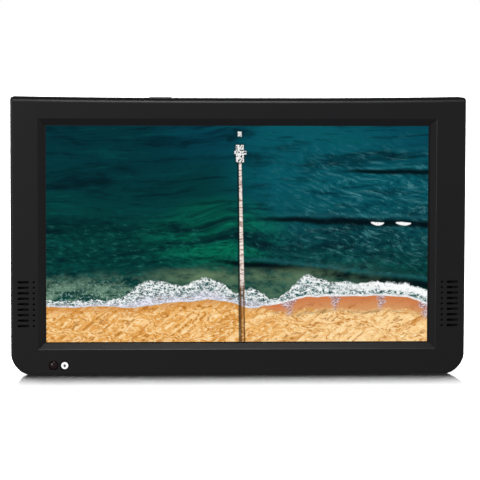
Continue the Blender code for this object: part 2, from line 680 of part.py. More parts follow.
# ================================================================ lamp and remote sensor
def build_sensor(parent):
    """Lamp, remote-control window, receiver and the small board that they stand on."""
    neck = FRONT + WALL + GAP
    flange = neck + LENS_FLANGE
    for name, finish, x, radius in (("status_led", "lamp_plastic", LAMP_X, LAMP_RADIUS),
                                    ("ir_window", "window_plastic", WINDOW_X, WINDOW_RADIUS)):
        face = circle(radius, (x, LAMP_Z), ROUND_POINTS)
        rim = circle(radius + 2 * GAP, (x, LAMP_Z), ROUND_POINTS)
        sections = [(FRONT + GAP / 2, face), (neck, face), (neck, rim), (flange, rim)]
        if name == "status_led":
            stem = circle(radius / 2, (x, LAMP_Z), ROUND_POINTS)
            sections += [(flange, stem), (SENSOR_BOARD_FRONT - GAP, stem)]
        bm = bmesh.new()
        add_loft(bm, "Y", sections)
        make_part(name, bm, finish, parent)

    half = RECEIVER_SIZE / 2
    bm = bmesh.new()
    add_box(bm, (WINDOW_X - half, flange + GAP, LAMP_Z - half),
            (WINDOW_X + half, SENSOR_BOARD_FRONT - GAP, LAMP_Z + half))
    make_part("ir_receiver", bm, "chip", parent)

    low_z = FOOT_PROUD + WALL + GAP
    board_rear = SENSOR_BOARD_FRONT + SMALL_BOARD_THICKNESS
    bm = bmesh.new()
    add_box(bm, (WINDOW_X - SENSOR_BOARD_MARGIN, SENSOR_BOARD_FRONT, low_z),
            (LAMP_X + SENSOR_BOARD_MARGIN, board_rear, low_z + SENSOR_BOARD_HEIGHT))
    make_part("sensor_board", bm, "circuit_board", parent)


# ================================================================ main board and sockets
def build_main_board(parent):
    """Main circuit board with its tuner can and processor."""
    bm = bmesh.new()
    size = (BOARD_RIGHT - BOARD_LEFT, BOARD_TOP - BOARD_BOTTOM)
    middle = ((BOARD_LEFT + BOARD_RIGHT) / 2, (BOARD_BOTTOM + BOARD_TOP) / 2)
    add_prism(bm, "Y", BOARD_FRONT, BOARD_REAR, rounded(*size, WALL, middle))
    make_part("main_board", bm, "circuit_board", parent)

    top_side = BOARD_REAR + GAP
    for name, finish, (left, right, low, high), height in (
            ("tuner_module", "steel", TUNER, TUNER_HEIGHT),
            ("processor_chip", "chip", PROCESSOR, BOARD_THICKNESS)):
        bm = bmesh.new()
        add_box(bm, (left, top_side, low), (right, top_side + height, high))
        make_part(name, bm, finish, parent)


def build_slot_socket(parent, name, z, body, mouth, tongue):
    """Metal-shell socket: a box with an open mouth and a tongue inside."""
    back = SOCKET_MOUTH - body[2]
    floor = back + SOCKET_FLOOR
    outer = rectangle(body[0], body[1], (SOCKET_Y, z))
    hollow = rectangle(*mouth, (SOCKET_Y, z))
    contact = rectangle(*tongue, (SOCKET_Y, z))
    bm = bmesh.new()
    add_loft(bm, "X", [
        (back, outer), (SOCKET_MOUTH, outer), (SOCKET_MOUTH, hollow),
        (floor, hollow), (floor, contact), (SOCKET_MOUTH - TONGUE_SETBACK, contact),
    ])
    make_part(name, bm, "steel", parent)


def build_round_socket(parent, name, z, body, radii, finish):
    """Socket with a round nose in the side wall, a bore and a contact pin at its bottom."""
    back = SOCKET_MOUTH - body[2]
    floor = back + SOCKET_FLOOR
    pin_end = floor + (NOSE_END - floor) / 2
    centre = (SOCKET_Y, z)
    outer = rounded(body[0], body[1], SMALL_CORNER, centre)
    nose, bore, pin = [circle(radius, centre) for radius in radii]
    bm = bmesh.new()
    add_loft(bm, "X", [
        (back, outer), (SOCKET_MOUTH, outer), (SOCKET_MOUTH, nose), (NOSE_END, nose),
        (NOSE_END, bore), (floor, bore), (floor, pin), (pin_end, pin),
    ])
    make_part(name, bm, finish, parent)


def build_sockets(parent):
    """Row of sockets behind the right-hand side wall."""
    for name, sizes in ROUND_SOCKETS.items():
        build_round_socket(parent, name, *sizes)
    for name, sizes in SLOT_SOCKETS.items():
        build_slot_socket(parent, name, *sizes)


def build_power_switch(parent):
    """Slide switch: a body on the board, and a knob in the side wall's slot."""
    rest_z = SWITCH_Z - SWITCH_TRAVEL / 2
    body_front = SOCKET_MOUTH - SWITCH_BODY_SETBACK
    body = rectangle(SWITCH_BODY_SIZE[0], SWITCH_BODY_SIZE[1], (SOCKET_Y, SWITCH_Z))
    bm = bmesh.new()
    add_prism(bm, "X", body_front - SWITCH_BODY_SIZE[2], body_front, body)
    make_part("power_switch_body", bm, "chip", parent)

    knob = rounded(*SWITCH_KNOB, SMALL_CORNER)
    flange = rounded(*grown(SWITCH_KNOB, SWITCH_FLANGE), SMALL_CORNER)
    tip = rounded(*grown(SWITCH_KNOB, -GAP), SMALL_CORNER - GAP / 2)
    flange_front = body_front + GAP
    bm = bmesh.new()
    sections = [(flange_front, flange), (SOCKET_MOUTH - GAP, flange), (SOCKET_MOUTH - GAP, knob)]
    sections += [(SIDE - 2 * GAP, knob), (SIDE - GAP, tip)]
    add_loft(bm, "X", sections)
    make_part("power_switch_knob", bm, "black_plastic", parent, (0.0, SOCKET_Y, rest_z))


# ================================================================ keys
def build_key(parent, name, x, finish, top, travel):
    """One key: a cap in its hole, a flange under the wall and a stem above its switch."""
    cap = rounded(*KEY_SIZE, KEY_CORNER)
    crown = rounded(*grown(KEY_SIZE, -GAP), KEY_CORNER - GAP / 2)
    flange = rounded(*KEY_FLANGE, KEY_CORNER)
    stem = rounded(KEY_STEM, KEY_STEM, KEY_CORNER)
    flange_top = KEY_TOP - WALL - GAP
    flange_low = flange_top - KEY_FLANGE_THICKNESS
    stem_end = KEY_SWITCH_TOP + travel + GAP / 3
    bm = bmesh.new()
    heights = [(stem_end, stem), (flange_low, stem), (flange_low, flange), (flange_top, flange),
               (flange_top, cap), (top - GAP, cap), (top, crown)]
    add_loft(bm, "Z", [(height - top, outline) for height, outline in heights])
    make_part(name, bm, finish, parent, (x, KEY_Y, top))


def build_keys(parent):
    """Row of keys along the top, their switches and the board under them."""
    names = ["power_button", "source_button", "menu_button", "channel_down_button",
             "channel_up_button", "volume_down_button", "volume_up_button"]
    for i, (name, x) in enumerate(zip(names, key_places())):
        if i == 0:
            build_key(parent, name, x, "grey_plastic", KEY_TOP + POWER_PROUD, POWER_TRAVEL)
        else:
            build_key(parent, name, x, "black_plastic", KEY_TOP - GAP / 2, KEY_TRAVEL)
        body = rounded(SWITCH_BODY, SWITCH_BODY, SMALL_CORNER)
        plunger = circle(SWITCH_PLUNGER)
        low = KEY_BOARD_TOP + GAP - KEY_SWITCH_TOP
        shoulder = low + SWITCH_BODY_HEIGHT
        bm = bmesh.new()
        add_loft(bm, "Z", [(low, body), (shoulder, body), (shoulder, plunger), (0.0, plunger)])
        make_part("key_switch_%d" % (i + 1), bm, "chip", parent, (x, KEY_Y, KEY_SWITCH_TOP))
    bm = bmesh.new()
    length = KEY_PITCH * KEY_COUNT + 2 * KEY_BOARD_MARGIN
    board = rectangle(length, KEY_BOARD_WIDTH, (0.0, KEY_Y))
    add_prism(bm, "Z", KEY_BOARD_TOP - SMALL_BOARD_THICKNESS, KEY_BOARD_TOP, board)
    make_part("key_board", bm, "circuit_board", parent)


# ================================================================ battery, stand, feet, screws
def build_battery(parent):
    """Two round cells in a tray-shaped holder."""
    floor = PILLAR_FRONT
    cell_y = floor + HOLDER_WALL + GAP + CELL_RADIUS
    for i, z in enumerate(CELL_Z):
        bm = bmesh.new()
        cell = circle(CELL_RADIUS, (0.0, 0.0), ROUND_POINTS)
        cap = circle(CELL_RADIUS - CELL_CHAMFER, (0.0, 0.0), ROUND_POINTS)
        end = CELL_LENGTH / 2
        shoulder = end - CELL_CHAMFER
        add_loft(bm, "X", [(-end, cap), (-shoulder, cell), (shoulder, cell), (end, cap)])
        make_part("battery_cell_%d" % (i + 1), bm, "battery_sleeve", parent, (CELL_X, cell_y, z))
    inner = (CELL_LENGTH + 2 * GAP, CELL_Z[1] - CELL_Z[0] + 2 * (CELL_RADIUS + GAP))
    outer = (inner[0] + 2 * HOLDER_WALL, inner[1] + 2 * HOLDER_WALL)
    centre = (CELL_X, (CELL_Z[0] + CELL_Z[1]) / 2)
    rim = cell_y
    bm = bmesh.new()
    add_loft(bm, "Y", [
        (floor, rectangle(*outer, centre)), (rim, rectangle(*outer, centre)),
        (rim, rectangle(*inner, centre)), (floor + HOLDER_WALL, rectangle(*inner, centre)),
    ])
    make_part("battery_holder", bm, "chip", parent)


def build_stand(parent):
    """Fold-out stand on its hinge pin; the stand's origin is on the hinge axis."""
    axis = (0.0, STAND_AXIS_Y, STAND_AXIS_Z)
    inner, outer = [y - STAND_AXIS_Y for y in STAND_PLATE]
    half = STAND_WIDTH / 2
    bend = half - STAND_CORNER_RADIUS
    foot = STAND_CORNER_RADIUS - STAND_LENGTH
    outline = [(half, 0.0), (-half, 0.0)]
    outline += arc((-bend, foot), STAND_CORNER_RADIUS, 180, 270, STAND_CORNER_POINTS)
    outline += arc((bend, foot), STAND_CORNER_RADIUS, 270, 360, STAND_CORNER_POINTS)
    bm = bmesh.new()
    add_prism(bm, "Y", inner, outer, outline)
    stand = make_part("kickstand", bm, "black_plastic", parent, axis)

    bm = bmesh.new()
    barrel = circle(STAND_BARREL_RADIUS, (0.0, 0.0), ROUND_POINTS)
    add_prism(bm, "X", -half, half, barrel)
    combine(stand, "UNION", bm, "barrel")

    bm = bmesh.new()
    for x in STAND_RIBS:
        add_box(bm, (x - STAND_RIB_WIDTH / 2, inner - STAND_RIB_HEIGHT, -STAND_RIB_ENDS[1]),
                (x + STAND_RIB_WIDTH / 2, inner + EMBED, -STAND_RIB_ENDS[0]))
    combine(stand, "UNION", bm, "ribs")

    bm = bmesh.new()
    pin_hole = circle(PIN_HOLE_RADIUS, (0.0, 0.0), ROUND_POINTS)
    add_prism(bm, "X", -half - OVERCUT, half + OVERCUT, pin_hole)
    combine(stand, "DIFFERENCE", bm, "pin_hole")

    reach = half + STAND_CLEARANCE + POCKET_WALL - EMBED - GAP
    bm = bmesh.new()
    add_prism(bm, "X", -reach, reach, circle(PIN_RADIUS, (0.0, 0.0), ROUND_POINTS))
    make_part("kickstand_hinge_pin", bm, "steel", parent, axis)


def build_feet(parent):
    """Four thin rubber feet, two under each shell."""
    for row, y in (("front", FRONT_FOOT_Y), ("rear", REAR_FOOT_Y)):
        for side, word in ((-1, "left"), (1, "right")):
            bm = bmesh.new()
            add_prism(bm, "Z", 0.0, FOOT_THICKNESS, rounded(*FOOT_SIZE, FOOT_CORNER))
            make_part("foot_%s_%s" % (row, word), bm, "rubber", parent, (side * FOOT_X, y, 0.0))


def build_screws(parent):
    """Case screws, driven in from the back."""
    seat = PILLAR_FRONT + PILLAR_FLOOR + GAP
    for i, (x, z) in enumerate(SCREWS):
        shaft = circle(SCREW_RADIUS)
        head = circle(SCREW_HEAD_RADIUS)
        crown = circle(SCREW_HEAD_RADIUS * SCREW_CROWN)
        bm = bmesh.new()
        add_loft(bm, "Y", [(-SCREW_LENGTH, shaft), (0.0, shaft), (0.0, head),
                           (SCREW_HEAD_HEIGHT * SCREW_SKIRT, head), (SCREW_HEAD_HEIGHT, crown)])
        make_part("case_screw_%d" % (i + 1), bm, "steel", parent, (x, seat, z))


def main():
    for obj in list(bpy.data.objects):
        bpy.data.objects.remove(obj)
    case = make_empty("case")
    build_front_bezel(case)
    build_rear_cover(case)
    build_display(case)
    for side, word in ((-1, "left"), (1, "right")):
        build_speaker(case, word, side)
    build_sensor(case)
    build_main_board(case)
    build_sockets(case)
    build_power_switch(case)
    build_keys(case)
    build_battery(case)
    build_stand(case)
    build_feet(case)
    build_screws(case)


main()
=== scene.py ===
"""Looks of the portable television: fine shells, lit screen, keys, stand and finishes."""
import json
import math
from functools import partialmethod

import bmesh
import bpy
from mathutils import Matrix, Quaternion, Vector


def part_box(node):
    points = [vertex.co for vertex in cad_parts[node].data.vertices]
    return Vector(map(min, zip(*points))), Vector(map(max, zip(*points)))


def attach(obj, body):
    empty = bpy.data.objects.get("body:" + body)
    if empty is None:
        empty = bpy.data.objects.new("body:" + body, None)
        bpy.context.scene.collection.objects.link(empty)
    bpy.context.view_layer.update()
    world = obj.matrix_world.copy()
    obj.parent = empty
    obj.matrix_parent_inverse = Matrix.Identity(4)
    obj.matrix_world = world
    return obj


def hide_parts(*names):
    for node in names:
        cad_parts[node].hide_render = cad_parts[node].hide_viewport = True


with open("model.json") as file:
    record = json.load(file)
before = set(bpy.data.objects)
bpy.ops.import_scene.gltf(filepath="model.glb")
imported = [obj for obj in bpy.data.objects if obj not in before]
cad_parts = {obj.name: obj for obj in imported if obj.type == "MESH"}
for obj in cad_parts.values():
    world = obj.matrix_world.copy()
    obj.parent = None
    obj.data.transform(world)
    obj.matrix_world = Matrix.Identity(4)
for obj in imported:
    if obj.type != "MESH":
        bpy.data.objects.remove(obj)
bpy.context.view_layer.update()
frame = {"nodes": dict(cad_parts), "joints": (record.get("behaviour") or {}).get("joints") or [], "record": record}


def node_centre(name):
    """Middle of a CAD node's box."""
    low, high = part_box(name)
    return (low + high) / 2


# ---- sizes taken from the frame
bezel_low, bezel_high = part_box("front_bezel")
panel_low, panel_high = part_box("lcd_panel")
SIDE = bezel_high.x
FRONT = bezel_low.y
SPLIT = bezel_high.y            # where the front shell ends
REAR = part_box("rear_cover")[1].y
BASE = bezel_low.z
CREST = bezel_high.z
GLASS_FRONT = panel_low.y
GLASS_REAR = panel_high.y
PANEL_MARGIN = 0.00395          # panel beyond the picture, on each side
PICTURE_X = (panel_low.x + panel_high.x) / 2
PICTURE_Z = (panel_low.z + panel_high.z) / 2
PICTURE_WIDTH = panel_high.x - panel_low.x - 2 * PANEL_MARGIN
PICTURE_HEIGHT = panel_high.z - panel_low.z - 2 * PANEL_MARGIN
LAMP = node_centre("status_led")
WINDOW = node_centre("ir_window")
STAND_AXIS = Vector(next(j["pos_m"] for j in frame["joints"] if j["name"] == "kickstand_fold"))

# ---- shapes of the shells
TOP_SAG = 0.00113               # how far the top edge dips between the corners
SAG_POWER = 2.6
TOP_CORNER_RADIUS = 0.002
BOTTOM_CORNER_RADIUS = 0.015
WALL = 0.002
GAP = 0.0003                    # clearance between pieces
SEAM = SPLIT + GAP              # where the rear cover begins
OVERCUT = 0.001                 # how far a cutter reaches past what it cuts
EMBED = 0.0005                  # how far a joined body reaches into its neighbour
FLANGE = 0.001                  # thickness of the flanges on the keys and lenses
EDGE_SIDE = (0.0018, 0.0016)    # rounding where the sides meet the face: depth, inset
EDGE_TOP = (0.0038, 0.0036)     # the same along the top
REAR_EDGE = (0.009, 0.0068)
SEAM_CHAMFER = 0.00025
PICTURE_BORDER = 0.0007         # black glass seen between the picture and the slope
LIT_INSET = 0.0005              # the lit area is narrower than the glass by this on each side
SLOPE_WIDTH = 0.0041            # sloped frame round the screen
COLLAR_WALL = 0.0014
LAMP_RADIUS = 0.0024
LAMP_GROOVE = 0.0009            # dark gap round the lamp
WINDOW_RADIUS = 0.0029
WINDOW_DOME = 0.0009
FINE = 48                       # points round a small visible circle


# ---- outlines
def arc(centre, radius, start, end, points):
    """Points on an arc between two angles in degrees, both ends included."""
    angles = [math.radians(start + (end - start) * i / (points - 1)) for i in range(points)]
    return [(centre[0] + radius * math.cos(a), centre[1] + radius * math.sin(a)) for a in angles]


def rectangle(width, height, centre=(0.0, 0.0)):
    """Sharp rectangle with four points."""
    a, b = width / 2, height / 2
    return [(centre[0] + u, centre[1] + v) for u, v in ((a, -b), (a, b), (-a, b), (-a, -b))]


def cross(length, stroke, centre=(0.0, 0.0)):
    """Upright cross with arms of one length, anticlockwise from the right-hand arm."""
    a, b = length / 2, stroke / 2
    outline = []
    for u, v in ((1, 0), (0, 1), (-1, 0), (0, -1)):
        for along, across in ((a, -b), (a, b), (b, b)):
            outline.append((centre[0] + u * along - v * across, centre[1] + v * along + u * across))
    return outline


def rounded(width, height, corner, centre=(0.0, 0.0), points=6):
    """Rectangle with round corners, anticlockwise from the right-hand side."""
    a, b = width / 2 - corner, height / 2 - corner
    outline = []
    for start, u, v in ((0, a, b), (90, -a, b), (180, -a, -b), (270, a, -b)):
        outline += arc((centre[0] + u, centre[1] + v), corner, start, start + 90, points)
    return outline


def circle(radius, centre=(0.0, 0.0), points=24):
    """Circle that starts half a step past its right-hand side, so it lofts to rounded()."""
    step = 360 / points
    return arc(centre, radius, step / 2, 360 - step / 2, points)


def grown(size, extra):
    """Size of a rectangle that is larger by extra on each side."""
    return [length + 2 * extra for length in size]


def top_edge(x):
    """Height of the case's top edge, which dips gently between the corners."""
    share = min(abs(x) / SIDE, 1.0)
    return CREST - TOP_SAG * (1 - share ** SAG_POWER)


def case_outline(inset, top_inset, side_steps=20, corner_steps=8, top_steps=48):
    """Outline of the case, as (x, z, share of the top edge's shape) for each point."""
    half = SIDE - inset
    low = BASE + inset
    bottom_radius = BOTTOM_CORNER_RADIUS - inset
    top_radius = max(TOP_CORNER_RADIUS - inset, 2 * GAP)
    shoulder, heel = half - top_radius, half - bottom_radius
    shoulder_z = top_edge(shoulder) - top_inset - top_radius
    outline = [(x, z, 0.0) for x, z in
               arc((heel, low + bottom_radius), bottom_radius, -90, 0, side_steps)]
    for i, (x, z) in enumerate(arc((shoulder, shoulder_z), top_radius, 0, 90, corner_steps)):
        outline.append((x, z, i / (corner_steps - 1)))
    for i in range(1, top_steps):
        x = shoulder * (1 - 2 * i / top_steps)
        outline.append((x, top_edge(x) - top_inset, 1.0))
    for i, (x, z) in enumerate(arc((-shoulder, shoulder_z), top_radius, 90, 180, corner_steps)):
        outline.append((x, z, 1 - i / (corner_steps - 1)))
    outline += [(x, z, 0.0) for x, z in
                arc((-heel, low + bottom_radius), bottom_radius, 180, 270, side_steps)]
    return outline


# ---- bodies, each a list of rings with equally many points
def case_ring(y, inset):
    """Ring of points round the case at one depth."""
    return [(x, y, z) for x, z, _ in case_outline(inset, inset)]


def on_axis(axis, along, point):
    """Puts a point of an outline at a place along the X, Y or Z axis."""
    u, v = point
    return {"X": (along, u, v), "Y": (u, along, v), "Z": (u, v, along)}[axis]


def loft(axis, sections):
    """Body through outlines set one after another along an axis."""
    return [[on_axis(axis, along, point) for point in outline] for along, outline in sections]


def prism(axis, start, end, outline):
    """Body that is one outline swept straight along an axis."""
    return loft(axis, [(start, outline), (end, outline)])


def quarter(steps):
    """Shares (rise, run) along a quarter round, from a side wall to a flat face."""
    angles = [math.radians(90 * i / steps) for i in range(steps + 1)]
    return [(1 - math.sin(a), 1 - math.cos(a)) for a in angles]


def flared_hole(axis, face, back, shape, flare=GAP):
    """Cutter for a hole whose mouth at the face is rounded. shape(grow) is its outline."""
    inward = 1 if back > face else -1
    sections = [(back, shape(0.0))]
    for rise, run in quarter(4):
        sections.append((face + inward * flare * rise, shape(flare * run)))
    sections.append((face - inward * OVERCUT, shape(flare)))
    return loft(axis, sections)


# ---- objects
SHARP_ANGLE = math.radians(32)


def make(name, *bodies):
    """Makes one object from closed bodies."""
    bm = bmesh.new()
    for rings in bodies:
        loops = [[bm.verts.new(point) for point in ring] for ring in rings]
        for first, second in zip(loops, loops[1:]):
            for i, vertex in enumerate(first):
                j = (i + 1) % len(first)
                bm.faces.new((vertex, first[j], second[j], second[i]))
        bm.faces.new(loops[0][::-1])
        bm.faces.new(loops[-1])
    bmesh.ops.recalc_face_normals(bm, faces=bm.faces)
    mesh = bpy.data.meshes.new(name)
    bm.to_mesh(mesh)
    bm.free()
    obj = bpy.data.objects.new(name, mesh)
    bpy.context.scene.collection.objects.link(obj)
    return obj


def combine(target, operation, bodies):
    """Runs a Boolean between the target and the bodies, and applies it."""
    tool = make("tool", *bodies)
    modifier = target.modifiers.new("combine", "BOOLEAN")
    modifier.solver = "EXACT"
    modifier.operation = operation
    modifier.object = tool
    graph = bpy.context.evaluated_depsgraph_get()
    result = bpy.data.meshes.new_from_object(target.evaluated_get(graph))
    target.modifiers.clear()
    target.data = result
    bpy.data.objects.remove(tool)


def join(target, *bodies):
    """Joins bodies to the target."""
    combine(target, "UNION", bodies)


def cut(target, *bodies):
    """Cuts bodies from the target."""
    combine(target, "DIFFERENCE", bodies)


def finish_piece(obj, body, slot, *nodes, look=None):
    """Shades a piece, gives it its material, hangs it under its body's empty and hides the CAD nodes it stands
    for.
    """
    obj.data.shade_smooth()
    obj.data.set_sharp_from_angle(angle=SHARP_ANGLE)
    obj.modifiers.new("even_shading", "WEIGHTED_NORMAL").keep_sharp = True
    obj.data.materials.clear()
    obj.data.materials.append(MATERIALS[look or slot])
    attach(obj, body)
    if nodes:
        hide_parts(*nodes)


# ---- fields: values, vectors and colours worked out on a surface
class Field:
    """An output in a node tree, which is worked with like a number."""

    def __init__(self, tree, socket):
        self.tree = tree
        self.socket = socket

    def math(self, operation, *others):
        node = self.tree.nodes.new("ShaderNodeMath")
        node.operation = operation
        for i, value in enumerate((self, *others)):
            plug(value, node.inputs[i])
        return Field(self.tree, node.outputs[0])

    __add__ = partialmethod(math, "ADD")
    __radd__ = __add__
    __sub__ = partialmethod(math, "SUBTRACT")
    __mul__ = partialmethod(math, "MULTIPLY")
    __rmul__ = __mul__
    __truediv__ = partialmethod(math, "DIVIDE")
    __pow__ = partialmethod(math, "POWER")
    __abs__ = partialmethod(math, "ABSOLUTE")

    def __rsub__(self, other):
        return self * -1.0 + other

    def clamp(self):
        return self.math("MAXIMUM", 0.0).math("MINIMUM", 1.0)


def plug(value, socket):
    """Connects a field to a socket, or sets a plain value there."""
    if isinstance(value, Field):
        value.tree.links.new(value.socket, socket)
    else:
        socket.default_value = value


def coordinate(tree, kind):
    """Texture coordinate of one kind; Object is the position at rest, in metres."""
    return Field(tree, tree.nodes.new("ShaderNodeTexCoord").outputs[kind])


def split(place):
    """The three coordinates of a vector."""
    node = place.tree.nodes.new("ShaderNodeSeparateXYZ")
    plug(place, node.inputs[0])
    return [Field(place.tree, socket) for socket in node.outputs]


def vector(x, y, z=0.0):
    """Joins fields and numbers into a vector; x is a field."""
    node = x.tree.nodes.new("ShaderNodeCombineXYZ")
    for value, socket in zip((x, y, z), node.inputs):
        plug(value, socket)
    return Field(x.tree, node.outputs[0])


def smooth(value, low, high):
    """0 below low, 1 above high, and a smooth step between; low may be the larger."""
    node = value.tree.nodes.new("ShaderNodeMapRange")
    node.interpolation_type = "SMOOTHSTEP"
    plug(value, node.inputs["Value"])
    plug(low, node.inputs["From Min"])
    plug(high, node.inputs["From Max"])
    return Field(value.tree, node.outputs["Result"])


def spread(value, low, high):
    """Maps a field from 0..1 to low..high."""
    return value * (high - low) + low


def blend(first, second, share):
    """Mixes two colours; the share is a field."""
    node = share.tree.nodes.new("ShaderNodeMix")
    node.data_type = "RGBA"
    plug(share, node.inputs["Factor"])
    plug(first, node.inputs[6])
    plug(second, node.inputs[7])
    return Field(share.tree, node.outputs[2])


def noise(place, scale, detail=4.0, roughness=0.6):
    """Cloud noise, about 0 to 1, at a vector."""
    node = place.tree.nodes.new("ShaderNodeTexNoise")
    plug(place, node.inputs["Vector"])
    node.inputs["Scale"].default_value = scale
    node.inputs["Detail"].default_value = detail
    node.inputs["Roughness"].default_value = roughness
    return Field(place.tree, node.outputs["Fac"])


def clouds(x, y, z, detail, roughness):
    """Cloud noise at three coordinates."""
    return noise(vector(x, y, z), 1.0, detail, roughness)


def cells(place, scale, feature="F1"):
    """Distance to the nearest of many scattered points, or to the edge between their cells."""
    node = place.tree.nodes.new("ShaderNodeTexVoronoi")
    node.feature = feature
    plug(place, node.inputs["Vector"])
    node.inputs["Scale"].default_value = scale
    return Field(place.tree, node.outputs["Distance"])


def colour(red, green, blue):
    """Linear colour from display values of 0 to 255."""
    linear = []
    for value in (red, green, blue):
        share = value / 255
        linear.append(share / 12.92 if share <= 0.04045 else ((share + 0.055) / 1.055) ** 2.4)
    return (*linear, 1.0)


def shade_of(value):
    """Linear colour from a field or from display values."""
    return value if isinstance(value, Field) else colour(*value)


def paint(base, *coats):
    """Lays coats over a colour; each coat is a colour and its share."""
    result = shade_of(base)
    for shade, share in coats:
        result = blend(result, shade_of(shade), share)
    return result


def grey(level):
    """Neutral linear colour."""
    return (level, level, level, 1.0)


# ---- materials
def new_material(name, base, roughness, metallic=0.0):
    """Material with one Principled shader; returns it, the shader and the position on a piece."""
    material = bpy.data.materials.new(name)
    material.use_nodes = True
    shader = material.node_tree.nodes["Principled BSDF"]
    plug(base, shader.inputs["Base Color"])
    plug(roughness, shader.inputs["Roughness"])
    plug(metallic, shader.inputs["Metallic"])
    return material, shader, coordinate(material.node_tree, "Object")


def dress(shader, shade, roughness, relief, depth):
    """Gives a shader its colour, its roughness and the fine relief of a height field."""
    bump = relief.tree.nodes.new("ShaderNodeBump")
    bump.inputs["Strength"].default_value = 1.0
    bump.inputs["Distance"].default_value = depth
    plug(relief, bump.inputs["Height"])
    plug(Field(relief.tree, bump.outputs["Normal"]), shader.inputs["Normal"])
    plug(shade, shader.inputs["Base Color"])
    plug(roughness, shader.inputs["Roughness"])


def moulded_plastic(name, base, worn, roughness, grain=0.000006):
    """Fine-grained moulded plastic with faint handling marks and paler, smoother edges."""
    material, shader, place = new_material(name, base, roughness)
    speckle = noise(place, 2600.0, 3.0)
    pits = cells(place, 1900.0)
    marks = noise(place, 38.0, 5.0, 0.65)
    facing = abs(split(coordinate(place.tree, "Normal"))[1])
    edge = smooth(facing, 0.30, 0.55) * smooth(facing, 0.78, 0.64) * spread(marks, 0.2, 0.8)
    shade = blend(base, worn, edge * 0.35 + speckle * 0.06)
    gloss = spread(marks, roughness - 0.05, roughness + 0.06) + speckle * 0.04 - edge * 0.08
    dress(shader, shade, gloss, speckle * 0.6 + pits * 0.4, grain)
    return material


def bare_steel(name):
    """Plated sheet steel with a faint rolling direction and dull patches."""
    material, shader, place = new_material(name, (0.56, 0.57, 0.58, 1.0), 0.32, 1.0)
    x, y, z = split(place)
    grain = clouds(x * 300.0, y * 300.0, z * 9000.0, 3.0, 0.6)
    shade = blend((0.46, 0.47, 0.48, 1.0), (0.62, 0.62, 0.63, 1.0), grain)
    dress(shader, shade, spread(noise(place, 120.0), 0.22, 0.42), grain, 0.000004)
    return material


def circuit_board(name):
    """Green board with faint copper tracks under its lacquer."""
    material, shader, place = new_material(name, (0.015, 0.11, 0.045, 1.0), 0.42)
    x, y, z = split(place)
    weave = noise(place, 900.0, 2.0, 0.5)
    tracks = smooth(cells(vector(x, y * 0.3, z), 260.0, "DISTANCE_TO_EDGE"), 0.10, 0.05)
    share = (tracks * 0.7 + weave * 0.2).clamp()
    shade = blend((0.010, 0.085, 0.035, 1.0), (0.040, 0.190, 0.075, 1.0), share)
    dress(shader, shade, spread(weave, 0.34, 0.50), tracks, 0.00003)
    return material


def mottled(name, dark, light, rough_low, rough_high, scale, depth, metallic=0.0):
    """Plain material with fine mottling in its colour, gloss and relief."""
    material, shader, place = new_material(name, dark, rough_low, metallic)
    grain = noise(place, scale)
    dress(shader, blend(dark, light, grain), spread(grain, rough_low, rough_high), grain, depth)
    return material


# ---- the picture on the screen; u and v run from 0 to 1 across and up it
ASPECT = PICTURE_WIDTH / PICTURE_HEIGHT


def hill(u, centre, half_width):
    """1 at the centre and 0 beyond the half width, with a smooth slope."""
    return smooth(abs(u - centre), half_width, 0.0)


def web(x, v, scale, seed):
    """Net of thin bright threads, as sea foam makes."""
    thin = 0.06
    bend = clouds(x * scale * 0.5, v * scale * 0.5, seed + 3.0, 2.0, 0.5)
    field = clouds(x * scale + bend * 2.0, v * scale * 1.3, seed, 2.0, 0.55)
    return smooth(abs(field - 0.5), thin, thin * 0.2)


def shoreline(u):
    """Height of the water's edge across the picture."""
    ripple = clouds(u * 11.0, 3.7, 0.0, 5.0, 0.6) * 0.034
    rise = hill(u, 0.42, 0.22) * 0.030 - hill(u, 0.53, 0.05) * 0.020 + smooth(u, 0.56, 0.70) * 0.046
    return rise + ripple + 0.146 - smooth(u, 0.93, 1.02) * 0.045


def foam_height(u):
    """How far the foam reaches above the water's edge."""
    lumps = clouds(u * 18.0, 11.0, 0.0, 4.0, 0.6) - 0.5
    reach = hill(u, 0.27, 0.10) * 0.086 + hill(u, 0.41, 0.13) * 0.072 + hill(u, 0.54, 0.05) * 0.060
    reach = reach + smooth(u, 0.60, 0.70) * 0.034 + hill(u, 0.68, 0.07) * 0.044
    return (reach + 0.030 + lumps * 0.060).math("MAXIMUM", 0.014)


